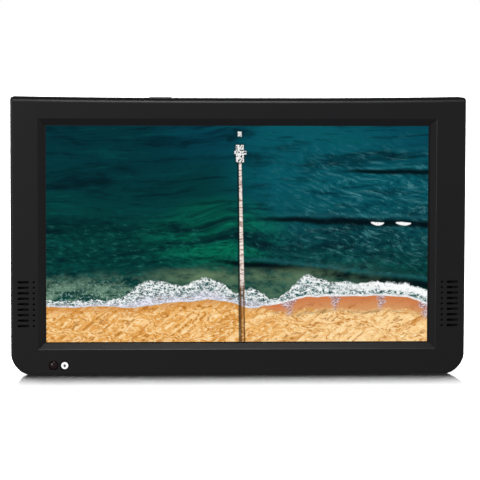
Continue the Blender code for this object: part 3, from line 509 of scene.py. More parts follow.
def sea(u, v):
    """Deep teal water, bluer and lighter towards the upper right, with swell and ripples."""
    x = u * ASPECT
    warp = clouds(x * 1.6, v * 2.2, 1.0, 3.0, 0.5) - 0.5
    swell = clouds(x * 2.0 + warp, v * 10.0 + warp * 2.0, 4.0, 6.0, 0.62)
    chop = clouds(x * 26.0 + warp * 9.0, v * 50.0 + warp * 9.0, 7.0, 5.0, 0.66)
    streaks = clouds(x * 4.0 + warp * 3.0, v * 34.0 + warp * 3.5, 12.0, 5.0, 0.70)
    along = x * 0.94 - v * 0.34
    across = x * 0.34 + v * 0.94
    ripple = clouds(along * 15.0 + warp * 8.0, across * 52.0 + warp * 14.0, 2.0, 5.0, 0.72)
    left = paint((2, 60, 56),
                 ((1, 50, 58), smooth(v + warp * 0.2, 0.45, 0.95)),
                 ((4, 70, 88), smooth(u, 0.22, 0.50) * smooth(v + warp * 0.1, 0.76, 1.0)))
    right = paint((8, 64, 68),
                  ((5, 84, 96), smooth(v + warp * 0.2, 0.38, 0.72)),
                  ((3, 62, 80), smooth(u + v, 1.70, 1.98) * 0.8))
    middle = ((u - 0.43) * 4.4) ** 2.0 + ((v - 0.50) * 5.6) ** 2.0
    patch = smooth(middle + warp * 1.6, 1.0, -0.2) * smooth(swell, 0.34, 0.56)
    low = smooth(abs(v - 0.40), 0.22, 0.06)
    zone = smooth(u, 0.50, 0.86) * smooth(abs(v - 0.62), 0.40, 0.08)
    return paint(left,
                 (right, smooth(u + warp * 0.10, 0.40, 0.60) * smooth(v + warp * 0.1, 0.28, 0.50)),
                 ((3, 120, 88), patch * spread(chop, 0.3, 1.0)),
                 ((0, 20, 30), smooth(swell, 0.52, 0.32) * 0.85),
                 ((0, 92, 92), smooth(swell, 0.55, 0.75) * 0.40),
                 ((0, 24, 32), smooth(streaks, 0.48, 0.32) * 0.65),
                 ((3, 88, 84), smooth(streaks, 0.54, 0.74) * 0.45),
                 ((0, 28, 34), smooth(chop, 0.52, 0.38) * spread(low, 0.10, 0.55)),
                 ((40, 116, 108), smooth(chop, 0.54, 0.70) * low * 0.50),
                 ((2, 44, 58), smooth(ripple, 0.50, 0.36) * zone * 0.70),
                 ((78, 142, 148), smooth(ripple, 0.50, 0.68) * zone * 0.66))


def wave_line(water, u, v, height, slope, start, thickness):
    """Dark front of a wave that runs from u = start to the right edge; also its signed distance."""
    wobble = (clouds(u * 9.0, height * 40.0, 0.0, 4.0, 0.55) - 0.5) * 0.030
    swelling = spread(smooth(u, start, start + 0.3), 0.5, 1.0) * thickness
    distance = (v - (height + wobble + u * slope)) / swelling
    body = smooth(abs(distance), 1.2, 0.2) * smooth(u, start, start + 0.12)
    lit = smooth(abs(distance - 1.3), 0.7, 0.0) * smooth(u, start + 0.05, start + 0.2)
    return paint(water, ((40, 108, 118), lit * 0.30), ((0, 12, 18), body * 0.95)), distance


def white_cap(picture, u, distance, centre, half_width):
    """Small breaking crest on a wave line: flat on top and rounded below."""
    along = ((u - centre) / half_width) ** 2.0
    low = smooth(distance + (1 - along) * 0.50, -0.10, 0.12)
    high = smooth(distance, 0.24, 0.04)
    crumbs = clouds(u * 160.0, distance * 2.0, 0.0, 2.0, 0.6)
    inside = smooth(along, 1.0, 0.8) * smooth(crumbs, 0.30, 0.42)
    return paint(picture, ((252, 254, 254), low * high * inside))


def sand(u, v, shore):
    """Warm mottled sand, wet and browner next to the water on the right."""
    x = u * ASPECT
    depth = shore - v
    warp = clouds(x * 6.0, v * 12.0, 5.0, 3.0, 0.5) - 0.5
    clumps = clouds(x * 12.0 + warp * 5.0, v * 32.0 + warp * 6.0, 8.0, 5.0, 0.66)
    ripples = clouds(x * 44.0 + warp * 12.0, v * 66.0 + warp * 16.0, 5.0, 4.0, 0.7)
    edge = smooth(depth, 0.05, 0.0) * smooth(u, 0.60, 0.50)
    dry = paint((238, 176, 94),
                ((250, 204, 138), smooth(u + warp * 0.3, 0.45, 0.80)),
                ((206, 134, 50), smooth(clumps, 0.52, 0.36) * 0.85),
                ((255, 216, 158), smooth(clumps, 0.50, 0.64) * 0.75),
                ((150, 88, 30), smooth(ripples, 0.49, 0.36) * 0.75),
                ((255, 234, 186), smooth(ripples, 0.51, 0.62) * 0.80),
                ((196, 122, 40), edge * spread(clumps, 0.2, 0.9)))
    reach = smooth(u, 0.53, 0.66) * (0.066 + (clumps - 0.5) * 0.09 + warp * 0.03)
    wet = paint((206, 124, 76),
                ((212, 150, 98), smooth(depth, 0.0, 0.06)),
                ((176, 104, 60), smooth(clumps, 0.50, 0.36) * 0.6))
    rim = smooth(abs(depth - reach), 0.012, 0.0) * smooth(clumps, 0.42, 0.56)
    lane = (u - 0.638 + warp * 0.030) / 0.118 + 0.5
    lane = abs(lane.math("FRACT") - 0.5)
    tongue = smooth(lane + depth * 1.5 + (clumps - 0.5) * 0.5, 0.19, 0.05) * smooth(u, 0.56, 0.62)
    lather = paint((158, 122, 118), ((226, 218, 230), web(x, v, 60.0, 21.0)))
    return paint(dry,
                 (wet, smooth(depth, reach, reach * 0.75) * smooth(u, 0.53, 0.60)),
                 ((118, 84, 40), rim * 0.60 * smooth(u, 0.55, 0.62)),
                 (lather, tongue * smooth(depth, 0.085, 0.045) * 0.9))


def surf(picture, u, v, shore):
    """Foam along the shore, with murky shallows above it."""
    x = u * ASPECT
    above = v - shore
    ragged = clouds(x * 22.0, v * 30.0, 3.0, 5.0, 0.68) - 0.5
    height = above / (foam_height(u) + ragged * 0.045)
    murk = clouds(x * 9.0, v * 17.0, 6.0, 6.0, 0.68)
    froth = clouds(x * 62.0, v * 80.0, 9.0, 3.0, 0.7)
    gully = clouds(x * 24.0 + ragged * 3.0, v * 60.0, 16.0, 4.0, 0.65)
    coarse = web(x, v, 30.0, 14.0)
    threads = web(x, v, 52.0, 2.0)

    side = smooth(u, 0.36, 0.16)
    veil = smooth(above, 0.19, 0.04) * smooth(murk, 0.38, 0.58)
    olive = smooth(u, 0.22, 0.40) * smooth(abs(v - 0.305), 0.050, 0.0)
    haze = smooth(above, 0.17, 0.06) * side * smooth(murk, 0.44, 0.60)
    drift = smooth(above, 0.17, 0.05) * side * threads * smooth(froth, 0.46, 0.62)
    shallows = paint(picture,
                     ((82, 116, 92), veil * smooth(u, 1.0, 0.60) * 0.85),
                     ((98, 124, 94), olive * smooth(u, 0.80, 0.60) * smooth(murk, 0.25, 0.7)),
                     ((126, 160, 140), haze * spread(froth, 0.1, 0.9)),
                     ((168, 206, 196), drift * 0.60))

    lace = (threads * 0.75 + coarse * 0.65 + smooth(froth, 0.52, 0.66) * 0.60).clamp()
    pale = paint((150, 154, 172),
                 ((234, 234, 248), (threads + froth * 0.7).clamp()),
                 ((150, 122, 108), smooth(gully, 0.50, 0.38) * 0.7))
    solid = smooth(u, 0.70, 0.90) * smooth(abs(height - 0.70 + ragged), 0.36, 0.16)
    foam = paint((4, 54, 54),
                 ((104, 152, 150), smooth(froth, 0.34, 0.66)),
                 ((250, 253, 253), lace),
                 ((34, 78, 76), smooth(gully, 0.48, 0.38) * 0.80),
                 (pale, smooth(height, 0.60, 0.10) * smooth(u, 0.62, 0.54) * 0.85),
                 ((252, 254, 254), solid * smooth(froth, 0.32, 0.46)))

    crest = smooth(abs(height - 0.90 + ragged * 0.4), 0.16, 0.02)
    lip = smooth(abs(above - 0.003), 0.009, 0.002) * spread(smooth(u, 0.54, 0.62), 0.35, 1.0)
    return paint(shallows,
                 (foam, smooth(height, 1.05, 0.90) * smooth(above, -0.002, 0.002)),
                 ((250, 253, 252), crest * smooth(froth, 0.46, 0.58) * 0.90),
                 ((248, 246, 248), lip * spread(froth, 0.5, 1.0)))


def inside_box(u, v, left, right, low, high, soft=0.0012):
    """1 inside an upright rectangle of the picture."""
    across = smooth(u, left - soft, left + soft) * smooth(u, right + soft, right - soft)
    return across * smooth(v, low - soft, low + soft) * smooth(v, high + soft, high - soft)


def jetty(picture, u, v):
    """Slim straight jetty that runs out from the beach to a small square head with two arms."""
    offset = u + v * 0.0105 - 0.5150
    half = spread(smooth(v, 0.95, 0.0), 0.0030, 0.0058)
    distance = abs(offset) - half
    run = smooth(v, 0.892, 0.888)
    shadow = smooth(abs(offset + half + 0.0022), 0.0046, 0.0010) * run
    planks = clouds(u * 60.0, v * 130.0, 1.0, 3.0, 0.6)
    deck = paint((160, 132, 120), ((246, 234, 226), smooth(planks, 0.36, 0.58)))
    posts = smooth(distance, 0.0020, -0.0008) * smooth(v, 0.29, 0.24)
    rails = smooth(abs(distance + half * 0.25), 0.0024, 0.0006)
    timber = (smooth(planks, 0.30, 0.50) * 0.45 + rails * 0.6).clamp()
    halo = inside_box(offset, v, -0.0135, 0.0120, 0.826, 0.918, 0.004)
    arms = inside_box(offset, v, -0.0150, 0.0165, 0.868, 0.884)
    head = inside_box(offset, v, -0.0105, 0.0098, 0.832, 0.912)
    buoy = inside_box(offset, v, -0.0050, 0.0050, 0.950, 0.974)
    roof = clouds(u * 240.0, v * 110.0, 5.0, 2.0, 0.5)
    cover = paint((24, 32, 34), ((244, 244, 242), smooth(roof, 0.40, 0.52)))
    return paint(picture,
                 ((6, 18, 22), shadow * 0.85),
                 (deck, smooth(distance, 0.0012, -0.0008) * run * smooth(v, 0.22, 0.27)),
                 ((104, 66, 32), posts * timber),
                 ((2, 20, 26), halo * 0.7),
                 (cover, (head + arms).clamp()),
                 (cover, buoy * 0.9))


def picture_material(name):
    """Lit display: a coast seen from above, laid out like the one photographed, under a faint gloss."""
    material, shader, place = new_material(name, grey(0.001), 0.30)
    x, _, z = split(place)
    u = (x - PICTURE_X) / PICTURE_WIDTH + 0.5
    v = (z - PICTURE_Z) / PICTURE_HEIGHT + 0.5
    shore = shoreline(u)
    picture, _ = wave_line(sea(u, v), u, v, 0.800, -0.014, 0.72, 0.019)
    picture, breaker = wave_line(picture, u, v, 0.606, -0.060, 0.50, 0.024)
    picture = white_cap(picture, u, breaker, 0.866, 0.018)
    picture = white_cap(picture, u, breaker, 0.934, 0.021)
    picture, _ = wave_line(picture, u, v, 0.474, -0.215, 0.38, 0.024)
    picture = surf(picture, u, v, shore)
    picture = paint(picture, (sand(u, v, shore), smooth(v - shore, 0.002, -0.002)))
    plug(jetty(picture, u, v), shader.inputs["Emission Color"])
    plug(1.0, shader.inputs["Emission Strength"])
    plug(0.05, shader.inputs["Specular IOR Level"])
    plug(spread(noise(place, 900.0, 2.0, 0.5), 0.26, 0.34), shader.inputs["Roughness"])
    return material


def lamp_material(name):
    """Lit indicator lens: white, with a small dark mark in the middle; its glow fades to black at the rim, painted
    shade that widens the dark gap round it.
    """
    material, shader, place = new_material(name, (0.020, 0.020, 0.022, 1.0), 0.16)
    x, _, z = split(place)
    across, up = x - LAMP.x, z - LAMP.z
    radius = (across * across + up * up).math("SQRT")
    mark = abs(across) * 1.3 + abs(up + LAMP_RADIUS * 0.05)
    grain = noise(place, 900.0, 3.0)
    glow = blend((0.96, 0.97, 0.98, 1.0), grey(1.0), grain)
    glow = blend(glow, (0.04, 0.04, 0.05, 1.0), smooth(mark, LAMP_RADIUS * 0.62, LAMP_RADIUS * 0.46))
    # painted shade: the glow turns black at the lens's rim and widens the shaded groove round the lamp
    glow = blend(glow, grey(0.0), smooth(radius, LAMP_RADIUS * 0.95, LAMP_RADIUS))
    plug(glow, shader.inputs["Emission Color"])
    plug(1.0, shader.inputs["Emission Strength"])
    plug(spread(grain, 0.12, 0.22), shader.inputs["Roughness"])
    return material


MAKERS = {                      # how each material is made, with what follows its name
    "black_plastic": (moulded_plastic, (0.0165, 0.0165, 0.0180, 1.0), (0.045, 0.045, 0.048, 1.0), 0.32),
    "grey_plastic": (moulded_plastic, (0.86, 0.86, 0.87, 1.0), grey(0.92), 0.38),
    "dark_plastic": (moulded_plastic, (0.010, 0.010, 0.011, 1.0), (0.030, 0.030, 0.032, 1.0), 0.50,
                     0.00002),
    "steel": (bare_steel,),
    "contact_gold": (mottled, (0.62, 0.44, 0.16, 1.0), (0.80, 0.60, 0.26, 1.0), 0.22, 0.36, 800.0,
                     0.000004, 1.0),
    "circuit_board": (circuit_board,),
    "rubber": (mottled, grey(0.010), grey(0.022), 0.75, 0.95, 1500.0, 0.00003),
    "battery_sleeve": (mottled, (0.015, 0.085, 0.300, 1.0), (0.030, 0.120, 0.400, 1.0), 0.28, 0.42,
                       300.0, 0.00001),
    "speaker_cone": (mottled, (0.012, 0.012, 0.013, 1.0), (0.045, 0.045, 0.047, 1.0), 0.85, 0.98,
                     1200.0, 0.00006),
    "magnet": (mottled, (0.07, 0.07, 0.075, 1.0), (0.14, 0.14, 0.15, 1.0), 0.5, 0.7, 700.0, 0.00003,
               0.4),
    "ribbon": (mottled, (0.66, 0.65, 0.60, 1.0), (0.82, 0.81, 0.77, 1.0), 0.40, 0.55, 500.0, 0.00001),
    "diffuser": (mottled, (0.74, 0.74, 0.72, 1.0), (0.86, 0.86, 0.85, 1.0), 0.30, 0.42, 400.0, 0.00001),
    "lamp_plastic": (lamp_material,),
    "window_plastic": (mottled, (0.020, 0.008, 0.010, 1.0), (0.040, 0.016, 0.018, 1.0), 0.06, 0.12,
                       200.0, 0.000004),
    "screen_border": (mottled, (0.004, 0.004, 0.005, 1.0), (0.008, 0.008, 0.009, 1.0), 0.30, 0.40,
                      800.0, 0.000004),
    "screen": (picture_material,),
}
MATERIALS = {name: maker(name, *values) for name, (maker, *values) in MAKERS.items()}


# ---- front bezel
SCREW_NODES = ["case_screw_%d" % (i + 1) for i in range(6)]
SCREW_BOSS = 0.003              # radius of the boss round a screw
SCREW_HOLE = 0.0015
GRILLE_ROWS = 9
GRILLE_PITCH = 0.00366
SLOT_SIZE = (0.0075, 0.0016)
SLOT_FROM_SIDE = 0.00835
DOT_RADIUS = 0.0007
DOT_FROM_SIDE = 0.0154
HOLE_FLARE, DOT_FLARE = 0.0002, 0.00015
LIP = (0.0004, 0.0002)          # rounding where the slope meets the face: depth, width
LIP_STEPS = 4


def frame_outline(extra):
    """Rectangle round the picture, larger than it by extra on each side."""
    return rectangle(*grown((PICTURE_WIDTH, PICTURE_HEIGHT), extra), (PICTURE_X, PICTURE_Z))


def front_ring(rise, run):
    """Ring round the rounding between the side walls and the face."""
    ring = []
    for x, z, top in case_outline(EDGE_SIDE[1] * run, EDGE_TOP[1] * run):
        depth = EDGE_SIDE[0] + top * (EDGE_TOP[0] - EDGE_SIDE[0])
        ring.append((x, FRONT + depth * rise, z))
    return ring


def screen_cutter():
    """Cutter for the screen's opening: straight at the glass, then sloped, with a rounded lip."""
    sections = [(GLASS_FRONT + OVERCUT, frame_outline(PICTURE_BORDER)),
                (GLASS_FRONT - GAP, frame_outline(PICTURE_BORDER))]
    slope_depth = GLASS_FRONT - GAP - FRONT
    for i in range(LIP_STEPS + 1):
        share = i / LIP_STEPS
        depth = LIP[0] * (1 - share)
        across = PICTURE_BORDER + SLOPE_WIDTH * (1 - depth / slope_depth) + LIP[1] * share * share
        sections.append((FRONT + depth, frame_outline(across)))
    sections.append((FRONT - OVERCUT, frame_outline(PICTURE_BORDER + SLOPE_WIDTH + LIP[1])))
    return loft("Y", sections)


def face_hole(shape, flare):
    """Cutter for a hole through the face."""
    return flared_hole("Y", FRONT, FRONT + WALL + OVERCUT, shape, flare)


def grille_cutters():
    """Cutters for the slots and the round holes in front of the two speakers."""
    cutters = []
    middle = node_centre("speaker_frame_left").z
    for side in (-1, 1):
        for i in range(GRILLE_ROWS):
            z = middle + GRILLE_PITCH * (i - (GRILLE_ROWS - 1) / 2)
            slot_at = (side * (SIDE - SLOT_FROM_SIDE), z)
            dot_at = (side * (SIDE - DOT_FROM_SIDE), z)
            cutters.append(face_hole(lambda grow: rounded(
                *grown(SLOT_SIZE, grow), SLOT_SIZE[1] / 2.2 + grow, slot_at), HOLE_FLARE))
            cutters.append(face_hole(lambda grow: circle(DOT_RADIUS + grow, dot_at, 16), DOT_FLARE))
    return cutters


def build_bezel():
    """Front shell with its rounded rim, sloped screen frame, speaker grilles and lamp holes."""
    rings = [case_ring(SPLIT, SEAM_CHAMFER), case_ring(SPLIT - SEAM_CHAMFER, 0.0)]
    bezel = make("bezel_shell", rings + [front_ring(rise, run) for rise, run in quarter(12)])
    cut(bezel, [case_ring(FRONT + WALL, WALL), case_ring(SPLIT + OVERCUT, WALL)])

    slope = SLOPE_WIDTH / (GLASS_FRONT - GAP - FRONT)
    collar = PICTURE_BORDER + SLOPE_WIDTH - slope * WALL + COLLAR_WALL
    boss_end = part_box("panel_tray")[1].y
    screws = [node_centre(name).xz for name in SCREW_NODES]
    join(bezel, prism("Y", FRONT + WALL - EMBED, GLASS_FRONT - GAP, frame_outline(collar)),
         *[prism("Y", FRONT + WALL - EMBED, boss_end, circle(SCREW_BOSS, place)) for place in screws])

    holes = [prism("Y", FRONT + WALL + EMBED, boss_end + OVERCUT, circle(SCREW_HOLE, place))
             for place in screws]
    for place, radius in ((LAMP.xz, LAMP_RADIUS + LAMP_GROOVE), (WINDOW.xz, WINDOW_RADIUS)):
        holes.append(face_hole(lambda grow: circle(radius + GAP + grow, place, FINE), HOLE_FLARE))
    cut(bezel, screen_cutter(), *holes, *grille_cutters())
    finish_piece(bezel, "case", "black_plastic", "front_bezel")


# ---- screen
def build_screen():
    """Display glass: a black border with the lit picture inside it."""
    edge = 0.0002
    lit = rectangle(PICTURE_WIDTH - 2 * LIT_INSET, PICTURE_HEIGHT, (PICTURE_X, PICTURE_Z))
    glass = make("display_glass", loft("Y", [
        (GLASS_REAR, frame_outline(PANEL_MARGIN)), (GLASS_FRONT + edge, frame_outline(PANEL_MARGIN)),
        (GLASS_FRONT, frame_outline(PANEL_MARGIN - edge)), (GLASS_FRONT, lit)]))
    finish_piece(glass, "case", "screen", "lcd_panel", look="screen_border")
    glass.data.materials.append(MATERIALS["screen"])
    for face in glass.data.polygons:
        middle = face.center
        flat = abs(middle.y - GLASS_FRONT) < GAP / 10
        if flat and abs(middle.x - PICTURE_X) < PANEL_MARGIN and abs(middle.z - PICTURE_Z) < PANEL_MARGIN:
            face.material_index = 1
    glass.visible_diffuse = False       # keeps the picture's glow off the floor


# ---- lamp and remote window
def build_lens(name, radius, flange_width, dome, slot):
    """Domed round lens with a flange behind the face, and a stem where the CAD node has one."""
    low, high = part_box(name)
    middle = node_centre(name).xz
    flange = FRONT + WALL + GAP
    flange_rear = flange + FLANGE
    rim = circle(radius + flange_width, middle, FINE)
    stem = circle(radius / 2, middle, FINE)
    sections = [(high.y, stem), (flange_rear, stem)] if high.y > flange_rear + GAP else []
    sections += [(flange_rear, rim), (flange, rim), (flange, circle(radius, middle, FINE))]
    steps = 8
    for i in range(steps):
        share = 1 - i / steps
        sections.append((low.y + dome * share * share, circle(radius * share, middle, FINE)))
    finish_piece(make(name + "_lens", loft("Y", sections)), "case", slot, name)


# ---- rear cover
KEY_CAP = (0.0154, 0.0054)
KEY_CORNER = 0.0006
KEY_CLEARANCE = 0.0003
KEY_STEM = 0.003
KEY_TOP = CREST - TOP_SAG
KEY_NODES = ["power_button", "source_button", "menu_button", "channel_down_button",
             "channel_up_button", "volume_down_button", "volume_up_button"]
ROUND_SOCKETS = {               # radius of the nose, the bore and the pin; slot
    "rf_socket": (0.0029, 0.0023, 0.0005, "steel"),
    "av_jack": (0.0026, 0.0018, 0.0006, "dark_plastic"),
    "earphone_jack": (0.0026, 0.0018, 0.0006, "dark_plastic"),
    "dc_jack": (0.0029, 0.0022, 0.0007, "dark_plastic"),
}
SLOT_SOCKETS = {                # mouth and tongue along Y and Z; number of contacts
    "hdmi_port": ((0.0046, 0.0138), (0.0012, 0.0110), 10),
    "usb_port": ((0.0050, 0.0124), (0.0018, 0.0112), 4),
    "card_slot": ((0.0014, 0.0114), (0.0004, 0.0100), 8),
}
SOCKET_RIM = 0.0008
SOCKET_MOUTH = SIDE - WALL - 3 * GAP
SOCKET_FLOOR = 0.0015           # material behind a socket's bore
SOCKET_LIP = 0.0002             # softening of a socket's mouth
TONGUE_DEPTH = 0.002            # from a slot socket's mouth to its tongue's tip
CONTACT = 0.00008               # thickness of a contact strip
SWITCH_TRAVEL = 0.003
SWITCH_KNOB = (0.0034, 0.0046)
SCOOP = (0.0075, 0.014, 0.0012)         # width, height and depth of the dish round the switch
STAND_BARREL = 0.0024
STAND_CORNER = 0.008
STAND_CLEARANCE = 0.0005
POCKET_FLOOR = 0.0127
POCKET_WALL = 0.002
PIN_HOLE = 0.00132
NOTCH = (0.022, 0.0075)
COUNTERBORE = 0.0027
PILLAR = 0.0036
PILLAR_FLOOR = 0.0022           # material under a screw's head
PILLAR_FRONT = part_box("panel_bracket_left")[1].y + GAP
VENTS = 15
VENT_PITCH = 0.0056
VENT_SIZE = (0.002, 0.022)
VENT_Z = 0.137
LABEL_SIZE = (0.060, 0.030)
LABEL_CENTRE = (-0.085, 0.045)
LABEL_DEPTH = 0.0004


def pocket_outline(extra):
    """Outline of the stand's pocket in the back, larger by extra on each side."""
    low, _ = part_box("kickstand")
    width = 2 * (STAND_CLEARANCE + extra - low.x)
    bottom = low.z - STAND_CLEARANCE - extra
    top = STAND_AXIS.z + STAND_BARREL + STAND_CLEARANCE + extra
    return rectangle(width, top - bottom, (0.0, (top + bottom) / 2))


def notch_outline(extra):
    """Outline of the finger notch under the stand's free end."""
    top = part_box("kickstand")[0].z
    low = top - NOTCH[1] - extra
    return rectangle(NOTCH[0] + 2 * extra, top - low + extra, (0.0, (low + top + extra) / 2))


def back_cutters():
    """Cutters for the vents, the screw wells and the label's recess in the back."""
    cutters = []
    for i in range(VENTS):
        centre = (VENT_PITCH * (i - (VENTS - 1) / 2), VENT_Z)
        cutters.append(flared_hole("Y", REAR, REAR - WALL - OVERCUT, lambda grow: rounded(
            *grown(VENT_SIZE, grow), VENT_SIZE[0] / 2.1 + grow, centre)))
    floor = PILLAR_FRONT + PILLAR_FLOOR
    for name in SCREW_NODES:
        centre = node_centre(name).xz
        shaft, well = [circle(radius, centre, 32) for radius in (SCREW_HOLE, COUNTERBORE)]
        sections = [(PILLAR_FRONT - OVERCUT, shaft), (floor, shaft), (floor, well)]
        for rise, run in quarter(4):
            sections.append((REAR - GAP * rise, circle(COUNTERBORE + GAP * run, centre, 32)))
        sections.append((REAR + OVERCUT, circle(COUNTERBORE + GAP, centre, 32)))
        cutters.append(loft("Y", sections))
    cutters.append(flared_hole("Y", REAR, REAR - LABEL_DEPTH, lambda grow: rounded(
        *grown(LABEL_SIZE, grow), WALL + grow, LABEL_CENTRE), LABEL_DEPTH / 2))
    return cutters


def socket_and_key_cutters():
    """Cutters for the sockets' and the keys' holes, each with a softened mouth."""
    cutters = []
    inner = SIDE - 2 * WALL
    for name, (nose, *_) in ROUND_SOCKETS.items():
        centre = node_centre(name).yz
        cutters.append(flared_hole("X", SIDE, inner, lambda grow: circle(nose + GAP + grow, centre, FINE)))
    for name, (mouth, *_) in SLOT_SOCKETS.items():
        centre = node_centre(name).yz
        cutters.append(flared_hole("X", SIDE, inner, lambda grow: rounded(
            *grown(mouth, SOCKET_RIM + grow), KEY_CORNER + grow, centre)))
    for name in KEY_NODES:
        centre = node_centre(name).xy
        cutters.append(flared_hole("Z", KEY_TOP, KEY_TOP - 2 * WALL, lambda grow: rounded(
            *grown(KEY_CAP, KEY_CLEARANCE + grow), KEY_CORNER + grow, centre)))
    return cutters


def scoop_cutter(centre):
    """Cutter for the shallow dish round the power switch."""
    width, height, depth = SCOOP
    corner = width / 3
    mouth = rounded(width, height, corner, centre)
    return loft("X", [
        (SIDE - depth, rounded(width - depth, height - depth, corner - depth / 2, centre)),
        (SIDE - depth * 0.4, rounded(width - depth * 0.5, height - depth * 0.5, corner, centre)),
        (SIDE, mouth), (SIDE + OVERCUT, mouth)])


def build_cover():
    """Rear shell: rounded back with its pocket, wells, vents and socket holes."""
    rings = [case_ring(SEAM, SEAM_CHAMFER), case_ring(SEAM + SEAM_CHAMFER, 0.0)]
    rings += [case_ring(REAR - REAR_EDGE[0] * rise, REAR_EDGE[1] * run) for rise, run in quarter(14)]
    cover = make("cover_shell", rings)
    rings = [case_ring(SEAM - OVERCUT, WALL)]
    depth, inset = [size - WALL for size in REAR_EDGE]
    rings += [case_ring(REAR - WALL - depth * rise, WALL + inset * run) for rise, run in quarter(6)]
    cut(cover, rings)

    wall_front = POCKET_FLOOR - POCKET_WALL
    join(cover, prism("Y", wall_front, REAR - WALL + EMBED, pocket_outline(POCKET_WALL)),
         *[prism("Y", PILLAR_FRONT, REAR - WALL + EMBED, circle(PILLAR, node_centre(name).xz))
           for name in SCREW_NODES])
    join(cover, prism("Y", wall_front + EMBED, REAR - WALL + EMBED, notch_outline(POCKET_WALL)))

    pocket = [(POCKET_FLOOR, 0.0), (REAR - GAP, 0.0), (REAR - GAP / 4, GAP / 4), (REAR + OVERCUT, GAP)]
    cut(cover, loft("Y", [(y, pocket_outline(extra)) for y, extra in pocket]),
        *back_cutters(), *socket_and_key_cutters())

    notch = [(POCKET_FLOOR, 0.0), (REAR - GAP, 0.0), (REAR + OVERCUT, GAP)]
    switch = node_centre("power_switch_body").yz
    pin_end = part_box("kickstand_hinge_pin")[1].x + GAP
    cut(cover, loft("Y", [(y, notch_outline(extra)) for y, extra in notch]), scoop_cutter(switch),
        prism("X", -pin_end, pin_end, circle(PIN_HOLE, STAND_AXIS.yz)))
    slot = grown((SWITCH_KNOB[0], SWITCH_KNOB[1] + SWITCH_TRAVEL), GAP)
    cut(cover, prism("X", SIDE - 2 * WALL, SIDE + OVERCUT, rounded(*slot, KEY_CORNER, switch)))
    finish_piece(cover, "case", "black_plastic", "rear_cover")


# ---- sockets and power switch
def build_round_socket(name, nose, bore, pin, slot):
    """Jack with a softened nose, a deep bore and a contact pin."""
    low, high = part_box(name)
    centre = node_centre(name).yz
    floor = low.x + SOCKET_FLOOR
    pin_end = floor + (high.x - floor) / 2
    lip = SOCKET_LIP
    outer = rounded(high.y - low.y, high.z - low.z, KEY_CORNER, centre, 12)
    radii = [(SOCKET_MOUTH, nose), (high.x - lip, nose), (high.x, nose - lip), (high.x, bore + lip),
             (high.x - lip, bore), (floor, bore), (floor, pin), (pin_end - pin / 2, pin), (pin_end, pin / 2)]
    sections = [(low.x, outer), (SOCKET_MOUTH, outer)]
    sections += [(along, circle(radius, centre, FINE)) for along, radius in radii]
    finish_piece(make(name + "_detail", loft("X", sections)), "case", slot, name)


def build_slot_socket(name, mouth, tongue, contacts):
    """Metal shell with a flared mouth, and a dark tongue that carries contact strips."""
    low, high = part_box(name)
    size = (high.y - low.y, high.z - low.z)
    centre = node_centre(name).yz
    floor = low.x + SOCKET_FLOOR
    tip = high.x - TONGUE_DEPTH
    lip, corner = SOCKET_LIP, 2 * SOCKET_LIP
    shell = [(low.x, size), (high.x - lip, size), (high.x, grown(size, -lip)), (high.x, grown(mouth, lip)),
             (high.x - lip, mouth), (floor, mouth)]
    shell = loft("X", [(along, rounded(*outline, corner, centre)) for along, outline in shell])
    finish_piece(make(name + "_shell", shell), "case", "steel", name)

    blade = [(floor - EMBED, tongue), (tip - lip, tongue), (tip, grown(tongue, -lip / 2))]
    blade = loft("X", [(along, rectangle(*outline, centre)) for along, outline in blade])
    finish_piece(make(name + "_tongue", blade), "case", "dark_plastic")

    pitch = tongue[1] / contacts
    strips = []
    for i in range(contacts):
        place = (centre[0] - tongue[0] / 2, centre[1] + pitch * (i - (contacts - 1) / 2))
        strips.append(prism("X", floor + EMBED, tip - 2 * lip, rectangle(CONTACT, pitch / 2, place)))
    finish_piece(make(name + "_contacts", *strips), "case", "steel", look="contact_gold")


def build_switch_knob():
    """Slide knob with three grip grooves across it."""
    name = "power_switch_knob"
    low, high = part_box(name)
    centre = node_centre(name).yz
    flange = rounded(high.y - low.y, high.z - low.z, KEY_CORNER, centre)
    neck = SOCKET_MOUTH - GAP
    sections = [(low.x, flange), (neck, flange), (neck, rounded(*SWITCH_KNOB, KEY_CORNER, centre))]
    for rise, run in quarter(4):
        size = grown(SWITCH_KNOB, -GAP * run)
        sections.append((high.x - GAP * rise, rounded(*size, KEY_CORNER - GAP * run / 2, centre)))
    knob = make("power_switch_grip", loft("X", sections))
    groove, depth = 0.0005, 0.0004
    places = [(centre[0], centre[1] + i * 2 * groove) for i in (-1, 0, 1)]
    cut(knob, *[prism("X", high.x - depth, high.x + OVERCUT, rectangle(SWITCH_KNOB[0] + GAP, groove, place))
                for place in places])
    finish_piece(knob, name, "black_plastic", name)


# ---- keys
MARK = 0.0005                   # stroke of the marks on the keys
MARK_PAINT = 0.00008            # paint in the marks
KEY_EDGE = 0.0004               # rounding of the cap's rim
KEY_DISH = ((0.00004, 0.0007), (0.00010, 0.0011), (0.00014, 0.0016))    # depth, inset
KEY_MARKS = {
    "power_button": [rectangle(MARK, 4 * MARK)],
    "source_button": [rectangle(5 * MARK, MARK, (0.0, i * MARK)) for i in (-1, 1)],
    "menu_button": [rectangle(5 * MARK, 0.7 * MARK, (0.0, i * 1.6 * MARK)) for i in (-1, 0, 1)],
    "channel_down_button": [[(-2 * MARK, MARK), (0.0, -1.5 * MARK), (2 * MARK, MARK)]],
    "channel_up_button": [[(-2 * MARK, -MARK), (2 * MARK, -MARK), (0.0, 1.5 * MARK)]],
    "volume_down_button": [rectangle(4 * MARK, MARK)],
    "volume_up_button": [cross(4 * MARK, MARK)],
}


